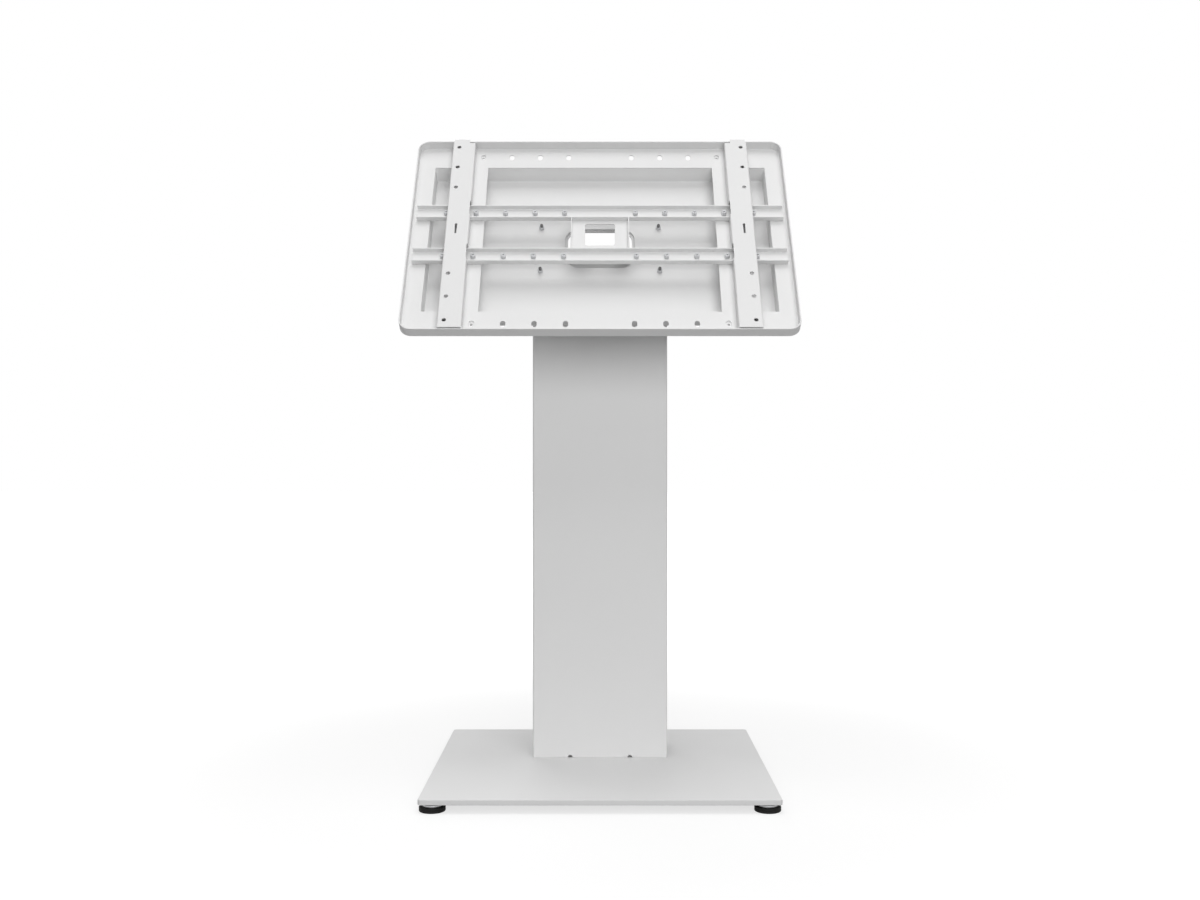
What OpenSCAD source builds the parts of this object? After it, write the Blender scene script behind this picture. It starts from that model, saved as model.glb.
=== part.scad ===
// Kiosk floor stand: a heavy base plate on four levelling feet, a sheet
// metal column, and a tilted tray whose two slotted arms slide on rails to
// take a display. Millimetres, +Z up, front towards -Y, origin on the floor
// under the middle of the base plate. A display is 200 to 400 mm hole to hole.

/* [Base plate] */
// Width of the base plate, left to right
base_w = 540; // [480:10:640]
// Depth of the base plate, front to back
base_d = 494; // [460:1:620]
// Thickness of the base plate
base_t = 8; // [8:1:12]
// Corner radius of the base plate
base_corner_r = 5; // [2:1:20]

/* [Levelling feet] */
// Diameter of the rubber pad
pad_d = 40; // [34:1:50]
// Height of the rubber pad
pad_h = 8; // [7:0.5:14]
// Diameter of the steel flange that rests on the pad
foot_flange_d = 30; // [24:1:34]
// Thickness of the steel flange
foot_flange_t = 3; // [2:0.5:4]
// Diameter of the spigot that the pad is moulded round
foot_spigot_d = 16; // [12:1:18]
// Depth of the spigot in the pad
foot_spigot_h = 5; // [3:0.5:6]
// Width across the flats of the spanner hexagon
foot_hex_af = 13; // [12:1:17]
// Height of the spanner hexagon
foot_hex_h = 1.7; // [1.5:0.1:3]
// Diameter of the threaded stud
foot_stud_d = 8; // [6:1:10]
// Depth of the threaded hole in the base plate
foot_bore_h = 7; // [6:0.5:7.5]
// Distance from the plate's edges to the middle of a foot
foot_inset = 20; // [20:1:60]

/* [Column] */
// Width of the column
col_w = 226; // [212:2:260]
// Depth of the column
col_d = 110; // [96:2:140]
// Sheet thickness of the column
col_t = 2; // [1.5:0.5:3]
// Outer bend radius of the column's edges
col_bend_r = 3; // [3:0.5:6]
// Place of the column's front face behind the middle of the base
col_front = 24; // [10:1:60]
// Width of each return that the rear cover screws to
col_return = 18; // [16:1:24]
// Diameter of the half-round reliefs in the front wall's lower edge
relief_d = 8; // [6:1:12]
// Distance from the middle to each relief
relief_x = 50; // [30:1:70]
// Thickness of the foot plate welded into the column
foot_plate_t = 8; // [6:1:12]
// Gap between the foot plate and the column's front wall
foot_plate_front_gap = 8; // [6:1:14]
// Distance from the middle to the base bolts, sideways
base_bolt_x = 75; // [60:1:85]
// Distance between the base bolts, front to back
base_bolt_pitch = 56; // [40:2:60]
// Diameter of the base bolts
base_bolt_d = 8; // [6:1:10]
// Thickness of the plate that closes the column's top
top_plate_t = 4; // [3:1:6]
// Width of the cable opening in the two inner plates
cable_w = 110; // [60:2:116]
// Depth of the cable opening in the two inner plates
cable_d = 40; // [30:2:50]

/* [Rear cover] */
// Sheet thickness of the rear cover
cover_t = 1.5; // [1:0.5:2]
// Margin between the cover's edge and the column's side
cover_margin = 7; // [5:1:9]
// Width of the cable notch in the cover's lower edge
notch_w = 60; // [40:2:90]
// Height of the cable notch
notch_h = 30; // [20:1:50]
// Diameter of the cover screws
cover_screw_d = 4; // [3:0.5:5]
// Number of cover screws on each side
cover_screw_rows = 4; // [3:1:6]
// Distance from the cover's ends to the first and last screw
cover_screw_end = 40; // [30:5:80]

/* [Head bracket] */
// Slope of the tray above the horizontal, in degrees
tilt = 54.5; // [51:0.5:58]
// Height of the middle of the arms' front face
head_z = 906; // [860:1:960]
// Place of that middle, front to back
head_y = 3; // [-6:1:8]
// Width of the head plate
head_plate_w = 240; // [230:2:280]
// Length of the head plate along the slope
head_plate_l = 160; // [140:2:200]
// Thickness of the head plate
head_plate_t = 2.5; // [2:0.5:5]
// Thickness of the doubler between the head plate and the box
doubler_t = 2; // [1.5:0.5:3]
// Width of the window in the head plate
head_window_w = 114; // [90:2:118]
// Length of the window in the head plate
head_window_l = 84; // [70:2:86]
// Corner radius of the window in the head plate
head_window_r = 17; // [5:1:20]
// Thickness of the cheeks
cheek_t = 4; // [3:1:6]
// Distance from the middle to each cheek's outer face
cheek_x = 100; // [98:1:102]
// Width of each cheek's foot flange
cheek_foot_w = 28; // [26:1:32]
// How far up the slope the cheeks reach
cheek_top_s = 70; // [50:1:70]
// Distance from the cheek's foot ends to its bolts
cheek_bolt_end = 18; // [16:1:24]
// Diameter of the bracket bolts
cheek_bolt_d = 6; // [5:1:8]
// Thickness of the web that ties the cheeks together at the back
web_t = 3; // [2:0.5:4]
// Height of the web above the column's top
web_h = 37; // [33:1:42]
// Width of the fold along the web's top edge
web_fold = 15; // [10:1:20]

/* [Tray] */
// Width of the tray
tray_w = 637; // [629:1:660]
// Length of the tray along the slope
tray_l = 435; // [435:1:460]
// Depth of the tray
tray_depth = 18; // [18:0.5:20]
// Sheet thickness of the tray and the box
tray_t = 2; // [1.5:0.5:2]
// Corner radius of the tray
tray_corner_r = 20; // [10:1:24]
// Distance of the tray's rim behind the arms' front face
rim_drop = 2; // [2:0.5:4]
// Width of the tray's recess opening
pocket_w = 575; // [570:1:580]
// Length of the tray's recess opening
pocket_l = 334; // [320:2:338]
// Distance from the middle to each upright bar's inner edge
bar_in = 195.5; // [190:0.5:199]
// Width of each upright bar
bar_w = 50; // [40:1:54]
// Width of the fixing slots
slot_w = 8.5; // [6:0.5:10]
// Length of the fixing slots
slot_l = 13; // [11:0.5:15]
// Distance from the middle to the first slot
slot_first_x = 55; // [50:1:58]
// Distance from one slot to the next
slot_pitch = 50; // [48:1:51]
// Distance from the middle to each row of slots
slot_s = 193; // [191:0.5:196]
// Width of the nut plates behind the outer slots
nut_plate_w = 26; // [20:1:30]
// Length of the nut plates
nut_plate_l = 24; // [20:1:24]
// Thickness of the nut plates
nut_plate_t = 3; // [2:0.5:4]
// Diameter of the threaded hole in each nut plate
nut_plate_hole_d = 4.2; // [3.3:0.1:5]

/* [Rear box] */
// Depth of the box behind the tray
box_depth = 30; // [28:1:40]
// Width of the flange that joins the box to the tray
box_flange = 12; // [6:1:12]
// Corner radius of the box
box_corner_r = 4; // [4:1:10]
// Outer bend radius of the box
fold_r = 3; // [3:0.5:5]
// Width of the cable opening in the box
box_window_w = 120; // [120:2:130]
// Length of the cable opening in the box
box_window_l = 90; // [88:1:94]
// Corner radius of the cable opening in the box
box_window_r = 20; // [5:1:24]
// Distance from the middle to the head studs, sideways
stud_x = 100; // [80:5:110]
// Distance from the middle to the head studs, along the slope
stud_s = 50; // [48:1:60]
// Diameter of the head studs
stud_d = 5; // [4:1:6]
// Height of the head studs above the box floor
stud_h = 10; // [9:0.5:14]
// Width across the flats of the head nuts
stud_nut_af = 8; // [7:1:10]
// Height of the head nuts
stud_nut_h = 5.5; // [4:0.5:6]

/* [Rails] */
// Length of the rails
rail_l = 620; // [612:2:624]
// Height of the rails along the slope
rail_h = 29; // [26:1:30]
// Depth of the rails
rail_d = 10; // [9:0.5:10]
// Sheet thickness of the rails and the centre bracket
rail_t = 2; // [1.5:0.5:2]
// Outer bend radius of the rails and the centre bracket
rail_bend_r = 3; // [2.5:0.5:5]
// Distance from the middle to each rail's centre line
rail_s = 50; // [46:1:56]
// Outer diameter of the clinch standoffs
standoff_d = 8.4; // [7:0.2:10]
// Height of the clinch standoffs above the rail's web
standoff_h = 7; // [5:0.5:7]
// Diameter of the thread in the clinch standoffs
standoff_bore_d = 3.3; // [2.5:0.1:4.2]
// Distance from the middle to the first standoff
standoff_first_x = 60; // [56:1:64]
// Distance from one standoff to the next
standoff_pitch = 50; // [40:1:52]
// Number of standoffs on each half of a rail
standoff_count = 5; // [3:1:5]
// Width of the centre bracket
bracket_w = 98; // [90:1:104]
// Side of the square window in the centre bracket
bracket_window = 50; // [40:1:56]

/* [Arms] */
// Width of an arm
arm_w = 39; // [36:1:46]
// Length of an arm
arm_l = 430; // [424:1:430]
// Sheet thickness of an arm
arm_t = 2; // [1.5:0.5:2]
// Depth of an arm's side flanges, with its face
arm_depth = 16; // [14:0.5:16]
// Outer bend radius of an arm
arm_bend_r = 3.5; // [2.5:0.5:4]
// Distance from the middle of the stand to each arm's display holes
arm_hole_x = 246.5; // [200:0.5:260]
// Distance from an arm's outer edge to its display holes
arm_hole_edge = 11; // [9:0.5:13]
// Diameter of the display holes
arm_hole_d = 7; // [5:0.5:8]
// Distance from the middle to the first display hole
arm_hole_first = 100; // [98:1:102]
// Distance from one display hole to the next
arm_hole_pitch = 50; // [46:1:51]
// Number of display holes above the middle, and as many below
arm_hole_count = 3; // [2:1:3]
// Length of the keyhole slot
keyhole_l = 22; // [16:1:26]
// Width of the keyhole slot
keyhole_w = 2.6; // [2:0.2:3.2]
// Diameter of the keyhole's head
keyhole_d = 5.2; // [4:0.2:7]
// Distance from the arm's outer edge to the keyhole slot
keyhole_edge = 17; // [14:0.5:20]
// How far the keyhole's middle lies above the arm's middle
keyhole_up = 2; // [0:1:6]
// Width of the step in an arm's upper inner corner
step_w = 10; // [6:1:12]
// Height of that step
step_h = 4; // [2:0.5:6]
// How far the side notches open above each rail
notch_lift = 8; // [7:0.5:9]
// Thickness of the hooks that hang an arm on the rails
hook_t = 4; // [3:0.5:5]
// Width of the hooks
hook_w = 24; // [18:1:28]
// Thickness of the tab that holds the lock screw
tab_t = 3; // [2:0.5:4]
// Diameter of the lock screw
lock_d = 5; // [4:1:6]
// Diameter of the lock screw's head
lock_head_d = 9; // [8:0.5:10]
// Height of the lock screw's head
lock_head_h = 3.5; // [3:0.5:5]

/* [Clearances] */
// Gap between a moving piece and what it slides on
slide_gap = 0.3; // [0.2:0.05:0.5]
// Radial gap of a stud in its thread
thread_gap = 0.05; // [0.02:0.01:0.08]
// Radial gap of a pressed or moulded fit
press_gap = 0.02; // [0.01:0.01:0.03]
// Radial gap of a bolt in a plain hole
hole_gap = 0.4; // [0.3:0.05:0.5]
// Gap of a plate that is welded inside the column
weld_gap = 0.2; // [0.1:0.05:0.3]
// Gap between the column's top and the head plate
top_gap = 1; // [0.9:0.05:1.2]

/* [Hidden] */
$fn = 64;

powder_white = [0.91, 0.91, 0.91];
powder_grey = [0.80, 0.80, 0.80];
zinc = [0.70, 0.71, 0.72];
dark_zinc = [0.45, 0.46, 0.47];
rubber = [0.06, 0.06, 0.06];

// Margin by which a cutting body passes the face that it opens
cut = 1;

// Heights of the base, measured from the floor
base_bottom = pad_h + foot_flange_t + foot_hex_h + slide_gap;
base_top = base_bottom + base_t;
foot_x = base_w / 2 - foot_inset;
foot_y = base_d / 2 - foot_inset;
stud_top = base_bottom + foot_bore_h - slide_gap;

// Levels of the head, measured out of the arms' front face
pan_rim = -rim_drop;
pan_back = pan_rim - tray_depth;
pan_floor = pan_back + tray_t;
rail_front = pan_floor + rail_d;
rail_web = pan_floor + rail_t;
box_floor = pan_back - box_depth;
box_back = box_floor - tray_t;
plate_front = box_back - doubler_t;
plate_back = plate_front - head_plate_t;

// Column sizes
col_back = col_front + col_d;
col_mid = (col_front + col_back) / 2;
col_top = sheet_z(col_front, plate_back) - top_gap;
col_in_w = col_w - 2 * col_t - 2 * weld_gap;
inner_front = col_front + col_t + weld_gap;
inner_back = col_back - col_t - weld_gap;
cover_w = col_w - 2 * cover_margin;
cover_screw_x = col_w / 2 - col_t - col_return / 2;
cover_bottom = base_top + hole_gap;
screw_z0 = cover_bottom + cover_screw_end;
screw_dz = (col_top - cover_screw_end - screw_z0) / (cover_screw_rows - 1);

// Cheek sizes: the foot flange stands on the column's top plate
cheek_front = inner_front + col_t;
cheek_rear = inner_back - col_t;
cheek_top_y = sheet_y(cheek_top_s, plate_back);
cheek_bolt_x = cheek_x - cheek_t - (cheek_foot_w - cheek_t) / 2;
cheek_bolt_ys = [cheek_front + cheek_bolt_end, cheek_rear - cheek_bolt_end];
cheek_nut_af = 10;
cheek_nut_h = 5;
cheek_head_h = 4;

// Base bolts come up through the plate into the column's foot plate
base_head_d = 1.75 * base_bolt_d;
base_head_h = 4.4;
base_bolt_ys = [col_mid - base_bolt_pitch / 2, col_mid + base_bolt_pitch / 2];

// Arms: each outer edge follows the display holes
arm_out_x = arm_hole_x + arm_hole_edge;
arm_mid_x = arm_out_x - arm_w / 2;
arm_in_x = arm_out_x - arm_w;
notch_l = rail_h + slide_gap + notch_lift;
notch_mid = (notch_lift - slide_gap) / 2;
notch_top = rail_front + slide_gap;
hook_depth = arm_depth - arm_t;
tab_s = -rail_s - rail_h / 2 - lock_head_h - tab_t;
lock_n = -arm_depth / 2 - arm_t / 2;

// Height of the sloping sheet at level n above the plan position y
function sheet_z(y, n) = head_z + (y - head_y) * tan(tilt) + n / cos(tilt);
// Plan position of the point s up the slope at level n
function sheet_y(s, n) = head_y + s * cos(tilt) - n * sin(tilt);
// Places of a row that starts at first and repeats at pitch, on both sides
function both_sides(first, pitch, count) =
    [for (side = [-1, 1], i = [0 : count - 1]) side * (first + i * pitch)];

// Turns a piece drawn as x, distance up the slope, level into the stand
module on_head() {
    translate([0, head_y, head_z]) rotate([tilt, 0, 0]) children();
}

module rounded_rect(w, l, r) {
    square([w - 2 * r, l], center = true);
    square([w, l - 2 * r], center = true);
    for (sx = [-1, 1], sy = [-1, 1])
        translate([sx * (w / 2 - r), sy * (l / 2 - r)]) circle(r);
}

// A slot with round ends, longer along y
module slot_shape(w, l) {
    square([w, l - w], center = true);
    for (side = [-1, 1]) translate([0, side * (l - w) / 2]) circle(d = w);
}

// The cable opening of the column's inner plates
module cable_slot() {
    rotate(90) slot_shape(cable_d, cable_w);
}

// Cross-section of a folded channel: web at the top, flanges downwards
module channel_shape(w, depth, t, r) {
    translate([0, -depth]) intersection() {
        difference() {
            rounded_rect(w, 2 * depth, r);
            rounded_rect(w - 2 * t, 2 * (depth - t), max(r - t, 0.1));
        }
        translate([-w / 2, 0]) square([w, depth]);
    }
}

// Cross-section of a folded edge: the wall's outer face at x = 0, floor at y = 0
module fold_shape(h, t, r) {
    translate([-t, r]) square([t, h - r]);
    intersection() {
        translate([-r, r]) difference() {
            circle(r);
            circle(r - t);
        }
        translate([-r, 0]) square(r);
    }
}

// An open tray of folded sheet: w by l over its walls, h deep
module folded_tray(w, l, corner_r, h, t, r) {
    linear_extrude(t) rounded_rect(w - 2 * r, l - 2 * r, corner_r - r);
    for (side = [-1, 1]) {
        translate([side * w / 2, 0, 0]) rotate(90 - side * 90) rotate([90, 0, 0])
            linear_extrude(l - 2 * corner_r, center = true) fold_shape(h, t, r);
        translate([0, side * l / 2, 0]) rotate(side * 90) rotate([90, 0, 0])
            linear_extrude(w - 2 * corner_r, center = true) fold_shape(h, t, r);
    }
    for (turn = [0 : 3]) {
        across = turn % 3 == 0 ? 1 : -1;
        along = turn < 2 ? 1 : -1;
        translate([across * (w / 2 - corner_r), along * (l / 2 - corner_r), 0])
            rotate(90 * turn) rotate_extrude(angle = 90)
                translate([corner_r, 0]) fold_shape(h, t, r);
    }
}

module hexagon(af, h) {
    cylinder(d = af / cos(30), h = h, $fn = 6);
}

// Base plate with a blind threaded hole for each foot

module base_plate() {
    color(powder_white) difference() {
        translate([0, 0, base_bottom]) linear_extrude(base_t)
            rounded_rect(base_w, base_d, base_corner_r);
        for (sx = [-1, 1], sy = [-1, 1])
            translate([sx * foot_x, sy * foot_y, base_bottom - cut])
                cylinder(d = foot_stud_d + 2 * thread_gap, h = foot_bore_h + cut);
        for (sx = [-1, 1], y = base_bolt_ys)
            translate([sx * base_bolt_x, y, base_bottom - cut])
                cylinder(d = base_bolt_d + 2 * hole_gap, h = base_t + 2 * cut);
    }
}

// Levelling feet: rubber pad moulded round the spigot of a threaded stud

module foot_pad(sx, sy) {
    edge = 1.5;
    color(rubber) translate([sx * foot_x, sy * foot_y, 0]) difference() {
        rotate_extrude() polygon([
            [0, 0], [pad_d / 2 - edge, 0], [pad_d / 2, edge],
            [pad_d / 2, pad_h - edge], [pad_d / 2 - edge, pad_h], [0, pad_h]]);
        translate([0, 0, pad_h - foot_spigot_h])
            cylinder(d = foot_spigot_d + 2 * press_gap, h = foot_spigot_h + cut);
    }
}

module foot_stud(sx, sy) {
    color(zinc) translate([sx * foot_x, sy * foot_y, 0]) {
        translate([0, 0, pad_h - foot_spigot_h])
            cylinder(d = foot_spigot_d, h = foot_spigot_h);
        translate([0, 0, pad_h]) cylinder(d = foot_flange_d, h = foot_flange_t);
        translate([0, 0, pad_h + foot_flange_t]) hexagon(foot_hex_af, foot_hex_h);
        translate([0, 0, pad_h]) cylinder(d = foot_stud_d, h = stud_top - pad_h);
    }
}

// Column: folded shell, open to the back between two returns

module column_shell() {
    h = col_top - base_top;
    opening = col_w - 2 * col_t - 2 * col_return;
    color(powder_grey) difference() {
        translate([0, col_mid, base_top]) linear_extrude(h) difference() {
            rounded_rect(col_w, col_d, col_bend_r);
            rounded_rect(col_w - 2 * col_t, col_d - 2 * col_t, col_bend_r - col_t + 0.1);
            translate([-opening / 2, 0]) square([opening, col_d]);
        }
        for (sx = [-1, 1]) translate([sx * relief_x, col_front - cut, base_top])
            rotate([-90, 0, 0]) cylinder(d = relief_d, h = col_t + 2 * cut);
        cover_screw_places() rotate([90, 0, 0])
            cylinder(d = cover_screw_d + 2 * thread_gap, h = col_t + 2 * cut);
    }
}

// Puts its children at each cover screw, 1 mm outside the column's back
module cover_screw_places(out = cut) {
    for (sx = [-1, 1], i = [0 : cover_screw_rows - 1])
        translate([sx * cover_screw_x, col_back + out, screw_z0 + i * screw_dz])
            children();
}

module column_foot_plate() {
    front = col_front + col_t + foot_plate_front_gap;
    l = inner_back - front;
    color(powder_grey) difference() {
        translate([-col_in_w / 2, front, base_top]) cube([col_in_w, l, foot_plate_t]);
        for (sx = [-1, 1], y = base_bolt_ys)
            translate([sx * base_bolt_x, y, base_top - cut])
                cylinder(d = base_bolt_d + 2 * thread_gap, h = foot_plate_t + 2 * cut);
        translate([0, col_mid, base_top - cut]) linear_extrude(foot_plate_t + 2 * cut)
            cable_slot();
    }
}

module base_bolts() {
    shank = base_t + foot_plate_t;
    color(dark_zinc) for (sx = [-1, 1], y = base_bolt_ys)
        translate([sx * base_bolt_x, y, base_bottom]) {
            cylinder(d = base_bolt_d, h = shank);
            translate([0, 0, -base_head_h]) difference() {
                cylinder(d1 = 0.8 * base_head_d, d2 = base_head_d, h = base_head_h);
                translate([0, 0, -cut]) hexagon(0.6 * base_bolt_d, base_head_h / 2 + cut);
            }
        }
}

module column_top_plate() {
    l = inner_back - inner_front;
    color(powder_grey) difference() {
        translate([0, col_mid, col_top - top_plate_t]) linear_extrude(top_plate_t)
            difference() {
                rounded_rect(col_in_w, l, col_bend_r);
                cable_slot();
            }
        for (sx = [-1, 1], y = cheek_bolt_ys)
            translate([sx * cheek_bolt_x, y, col_top - top_plate_t - cut])
                cylinder(d = cheek_bolt_d + 2 * hole_gap, h = top_plate_t + 2 * cut);
    }
}

// Rear cover with its cable notch and screws

module column_rear_cover() {
    h = col_top - cover_bottom;
    color(powder_white) difference() {
        translate([-cover_w / 2, col_back, cover_bottom]) cube([cover_w, cover_t, h]);
        translate([-notch_w / 2, col_back - cut, cover_bottom - cut])
            cube([notch_w, cover_t + 2 * cut, notch_h + cut]);
        cover_screw_places(cover_t + cut) rotate([90, 0, 0])
            cylinder(d = cover_screw_d + 2 * hole_gap, h = cover_t + 2 * cut);
    }
}

module rear_cover_screws() {
    head_h = 0.55 * cover_screw_d;
    color(dark_zinc) cover_screw_places(cover_t) {
        rotate([90, 0, 0]) cylinder(d = cover_screw_d, h = cover_t + col_t + cut);
        rotate([-90, 0, 0]) difference() {
            cylinder(d1 = 1.9 * cover_screw_d, d2 = 1.3 * cover_screw_d, h = head_h);
            translate([0, 0, head_h / 2]) hexagon(0.6 * cover_screw_d, head_h);
        }
    }
}

// Head bracket: two cheeks carry the sloping head plate above the column

module head_cheek(side) {
    inner_x = cheek_x - cheek_t;
    color(powder_grey) {
        translate([side > 0 ? inner_x : -cheek_x, 0, 0]) rotate([90, 0, 90])
            linear_extrude(cheek_t) polygon([
                [cheek_front, col_top],
                [cheek_front, sheet_z(cheek_front, plate_back)],
                [cheek_top_y, sheet_z(cheek_top_y, plate_back)],
                [cheek_rear, col_top + web_h],
                [cheek_rear, col_top]]);
        difference() {
            translate([side > 0 ? cheek_x - cheek_foot_w : -inner_x, cheek_front, col_top])
                cube([cheek_foot_w - cheek_t, cheek_rear - cheek_front, cheek_t]);
            for (y = cheek_bolt_ys)
                translate([side * cheek_bolt_x, y, col_top - cut])
                    cylinder(d = cheek_bolt_d + 2 * hole_gap, h = cheek_t + 2 * cut);
        }
    }
}

// A folded plate across the back of the cheeks, standing on their feet
module head_web() {
    w = 2 * (cheek_x - cheek_t - weld_gap);
    bottom = col_top + cheek_t;
    color(powder_grey) translate([0, cheek_rear - web_t, bottom]) {
        translate([-w / 2, 0, 0]) cube([w, web_t, web_h - cheek_t]);
        translate([-w / 2, web_t - web_fold, web_h - cheek_t - web_t])
            cube([w, web_fold, web_t]);
    }
}

module head_bracket_bolts() {
    shank = cheek_t + top_plate_t + cheek_nut_h + cut;
    color(zinc) for (sx = [-1, 1], y = cheek_bolt_ys)
        translate([sx * cheek_bolt_x, y, col_top + cheek_t]) {
            translate([0, 0, -shank]) cylinder(d = cheek_bolt_d, h = shank);
            hexagon(cheek_nut_af, cheek_head_h);
        }
}

module head_bracket_nuts() {
    color(zinc) for (sx = [-1, 1], y = cheek_bolt_ys)
        translate([sx * cheek_bolt_x, y, col_top - top_plate_t - cheek_nut_h])
            difference() {
                hexagon(cheek_nut_af, cheek_nut_h);
                translate([0, 0, -cut])
                    cylinder(d = cheek_bolt_d + 2 * thread_gap, h = cheek_nut_h + 2 * cut);
            }
}

module head_plate() {
    color(powder_grey) on_head() translate([0, 0, plate_back])
        linear_extrude(head_plate_t) difference() {
            rounded_rect(head_plate_w, head_plate_l, head_window_r / 2);
            rounded_rect(head_window_w, head_window_l, head_window_r);
            stud_places() circle(d = stud_d + 2 * press_gap);
        }
}

module head_doubler() {
    color(powder_grey) on_head() translate([0, 0, plate_front])
        linear_extrude(doubler_t) difference() {
            rounded_rect(head_plate_w, head_plate_l, head_window_r / 2);
            rounded_rect(box_window_w, box_window_l, box_window_r);
            stud_places() circle(d = stud_d + 2 * hole_gap);
        }
}

// Puts its children at the four head studs
module stud_places() {
    for (sx = [-1, 1], ss = [-1, 1]) translate([sx * stud_x, ss * stud_s]) children();
}

module head_studs() {
    color(zinc) on_head() translate([0, 0, plate_back]) stud_places()
        cylinder(d = stud_d, h = box_floor - plate_back + stud_h);
}

module head_stud_nuts() {
    color(dark_zinc) on_head() translate([0, 0, box_floor]) stud_places()
        difference() {
            hexagon(stud_nut_af, stud_nut_h);
            translate([0, 0, -cut])
                cylinder(d = stud_d + 2 * thread_gap, h = stud_nut_h + 2 * cut);
        }
}

// Tray: the box behind it, the pan, its upright bars and its nut plates

module rear_box() {
    outer_w = pocket_w + 2 * tray_t;
    outer_l = pocket_l + 2 * tray_t;
    color(powder_white) on_head() {
        difference() {
            translate([0, 0, box_back]) folded_tray(
                outer_w, outer_l, box_corner_r + tray_t, box_depth + tray_t, tray_t, fold_r);
            translate([0, 0, box_back - cut]) linear_extrude(tray_t + 2 * cut) {
                rounded_rect(box_window_w, box_window_l, box_window_r);
                stud_places() circle(d = stud_d + 2 * hole_gap);
            }
        }
        translate([0, 0, pan_back - tray_t]) linear_extrude(tray_t) difference() {
            rounded_rect(outer_w + 2 * box_flange, outer_l + 2 * box_flange, box_corner_r);
            rounded_rect(pocket_w, pocket_l, box_corner_r);
        }
    }
}

module tray_pan() {
    color(powder_white) on_head() difference() {
        translate([0, 0, pan_back]) linear_extrude(tray_depth)
            rounded_rect(tray_w, tray_l, tray_corner_r);
        translate([0, 0, pan_floor]) linear_extrude(tray_depth)
            rounded_rect(tray_w - 2 * tray_t, tray_l - 2 * tray_t, tray_corner_r - tray_t);
        translate([0, 0, pan_back - cut]) linear_extrude(tray_t + 2 * cut) {
            square([pocket_w, pocket_l], center = true);
            for (x = both_sides(slot_first_x, slot_pitch, 4), ss = [-1, 1])
                translate([x, ss * slot_s]) slot_shape(slot_w, slot_l);
        }
    }
}

// An upright bar, butt-welded flush across the tray's opening
module tray_bar(side) {
    color(powder_white) on_head() translate([side * (bar_in + bar_w / 2), 0, pan_back])
        linear_extrude(tray_t) square([bar_w, pocket_l], center = true);
}

module slot_nut_plates() {
    x = slot_first_x + 3 * slot_pitch;
    color(powder_grey) on_head() translate([0, 0, pan_back - nut_plate_t])
        for (sx = [-1, 1], ss = [-1, 1]) translate([sx * x, ss * slot_s]) difference() {
            linear_extrude(nut_plate_t) square([nut_plate_w, nut_plate_l], center = true);
            translate([0, 0, -cut]) cylinder(d = nut_plate_hole_d, h = nut_plate_t + 2 * cut);
        }
}

// Rails: folded channels with clinch standoffs in their webs

module rail(side) {
    color(powder_white) on_head() translate([0, side * rail_s, pan_floor])
        difference() {
            rotate([90, 0, 90]) linear_extrude(rail_l, center = true)
                rotate(180) channel_shape(rail_h, rail_d, rail_t, rail_bend_r);
            for (x = both_sides(standoff_first_x, standoff_pitch, standoff_count))
                translate([x, 0, -cut])
                    cylinder(d = standoff_d + 2 * press_gap, h = rail_t + 2 * cut);
        }
}

module rail_standoffs(side) {
    color(zinc) on_head() translate([0, side * rail_s, pan_floor])
        for (x = both_sides(standoff_first_x, standoff_pitch, standoff_count))
            translate([x, 0, 0]) difference() {
                cylinder(d = standoff_d, h = rail_t + standoff_h);
                translate([0, 0, -cut])
                    cylinder(d = standoff_bore_d, h = rail_t + standoff_h + 2 * cut);
            }
}

module centre_bracket() {
    l = 2 * rail_s - rail_h;
    color(powder_white) on_head() translate([0, 0, pan_floor]) difference() {
        rotate([90, 0, 0]) linear_extrude(l, center = true)
            rotate(180) channel_shape(bracket_w, rail_d, rail_t, rail_bend_r);
        translate([0, 0, -cut]) linear_extrude(rail_t + 2 * cut)
            square(bracket_window, center = true);
    }
}

// Arms: folded channels that hang on both rails and slide along them

module arm(side) {
    color(powder_white) on_head() translate([side * arm_mid_x, 0, 0]) difference() {
        rotate([90, 0, 0]) linear_extrude(arm_l, center = true)
            channel_shape(arm_w, arm_depth, arm_t, arm_bend_r);
        for (ss = [-1, 1]) {
            translate([-side * arm_w / 2, ss * rail_s + notch_mid, -arm_depth / 2])
                cube([2 * arm_bend_r, notch_l, arm_depth + 2 * cut], center = true);
            translate([side * arm_w / 2, ss * rail_s + notch_mid, notch_top - arm_depth])
                cube([2 * arm_bend_r, notch_l, 2 * arm_depth], center = true);
        }
        translate([0, 0, -arm_t - cut]) linear_extrude(arm_t + 2 * cut) {
            for (s = both_sides(arm_hole_first, arm_hole_pitch, arm_hole_count))
                translate([side * (arm_w / 2 - arm_hole_edge), s]) circle(d = arm_hole_d);
            translate([side * (arm_w / 2 - keyhole_edge), keyhole_up]) {
                slot_shape(keyhole_w, keyhole_l);
                translate([0, (keyhole_l - keyhole_d) / 2]) circle(d = keyhole_d);
            }
        }
        translate([-side * arm_w / 2, arm_l / 2, -arm_depth / 2])
            cube([2 * step_w, 2 * step_h, arm_depth + 2 * cut], center = true);
    }
}

module arm_hooks(side) {
    tab_w = arm_w - 2 * arm_bend_r;
    color(powder_grey) on_head() translate([side * arm_mid_x, 0, 0]) {
        for (ss = [-1, 1])
            translate([-hook_w / 2, ss * rail_s + rail_h / 2 + slide_gap, -arm_depth])
                cube([hook_w, hook_t, hook_depth]);
        difference() {
            translate([-tab_w / 2, tab_s, -arm_depth]) cube([tab_w, tab_t, hook_depth]);
            translate([0, tab_s - cut, lock_n]) rotate([-90, 0, 0])
                cylinder(d = lock_d + 2 * thread_gap, h = tab_t + 2 * cut);
        }
    }
}

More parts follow.
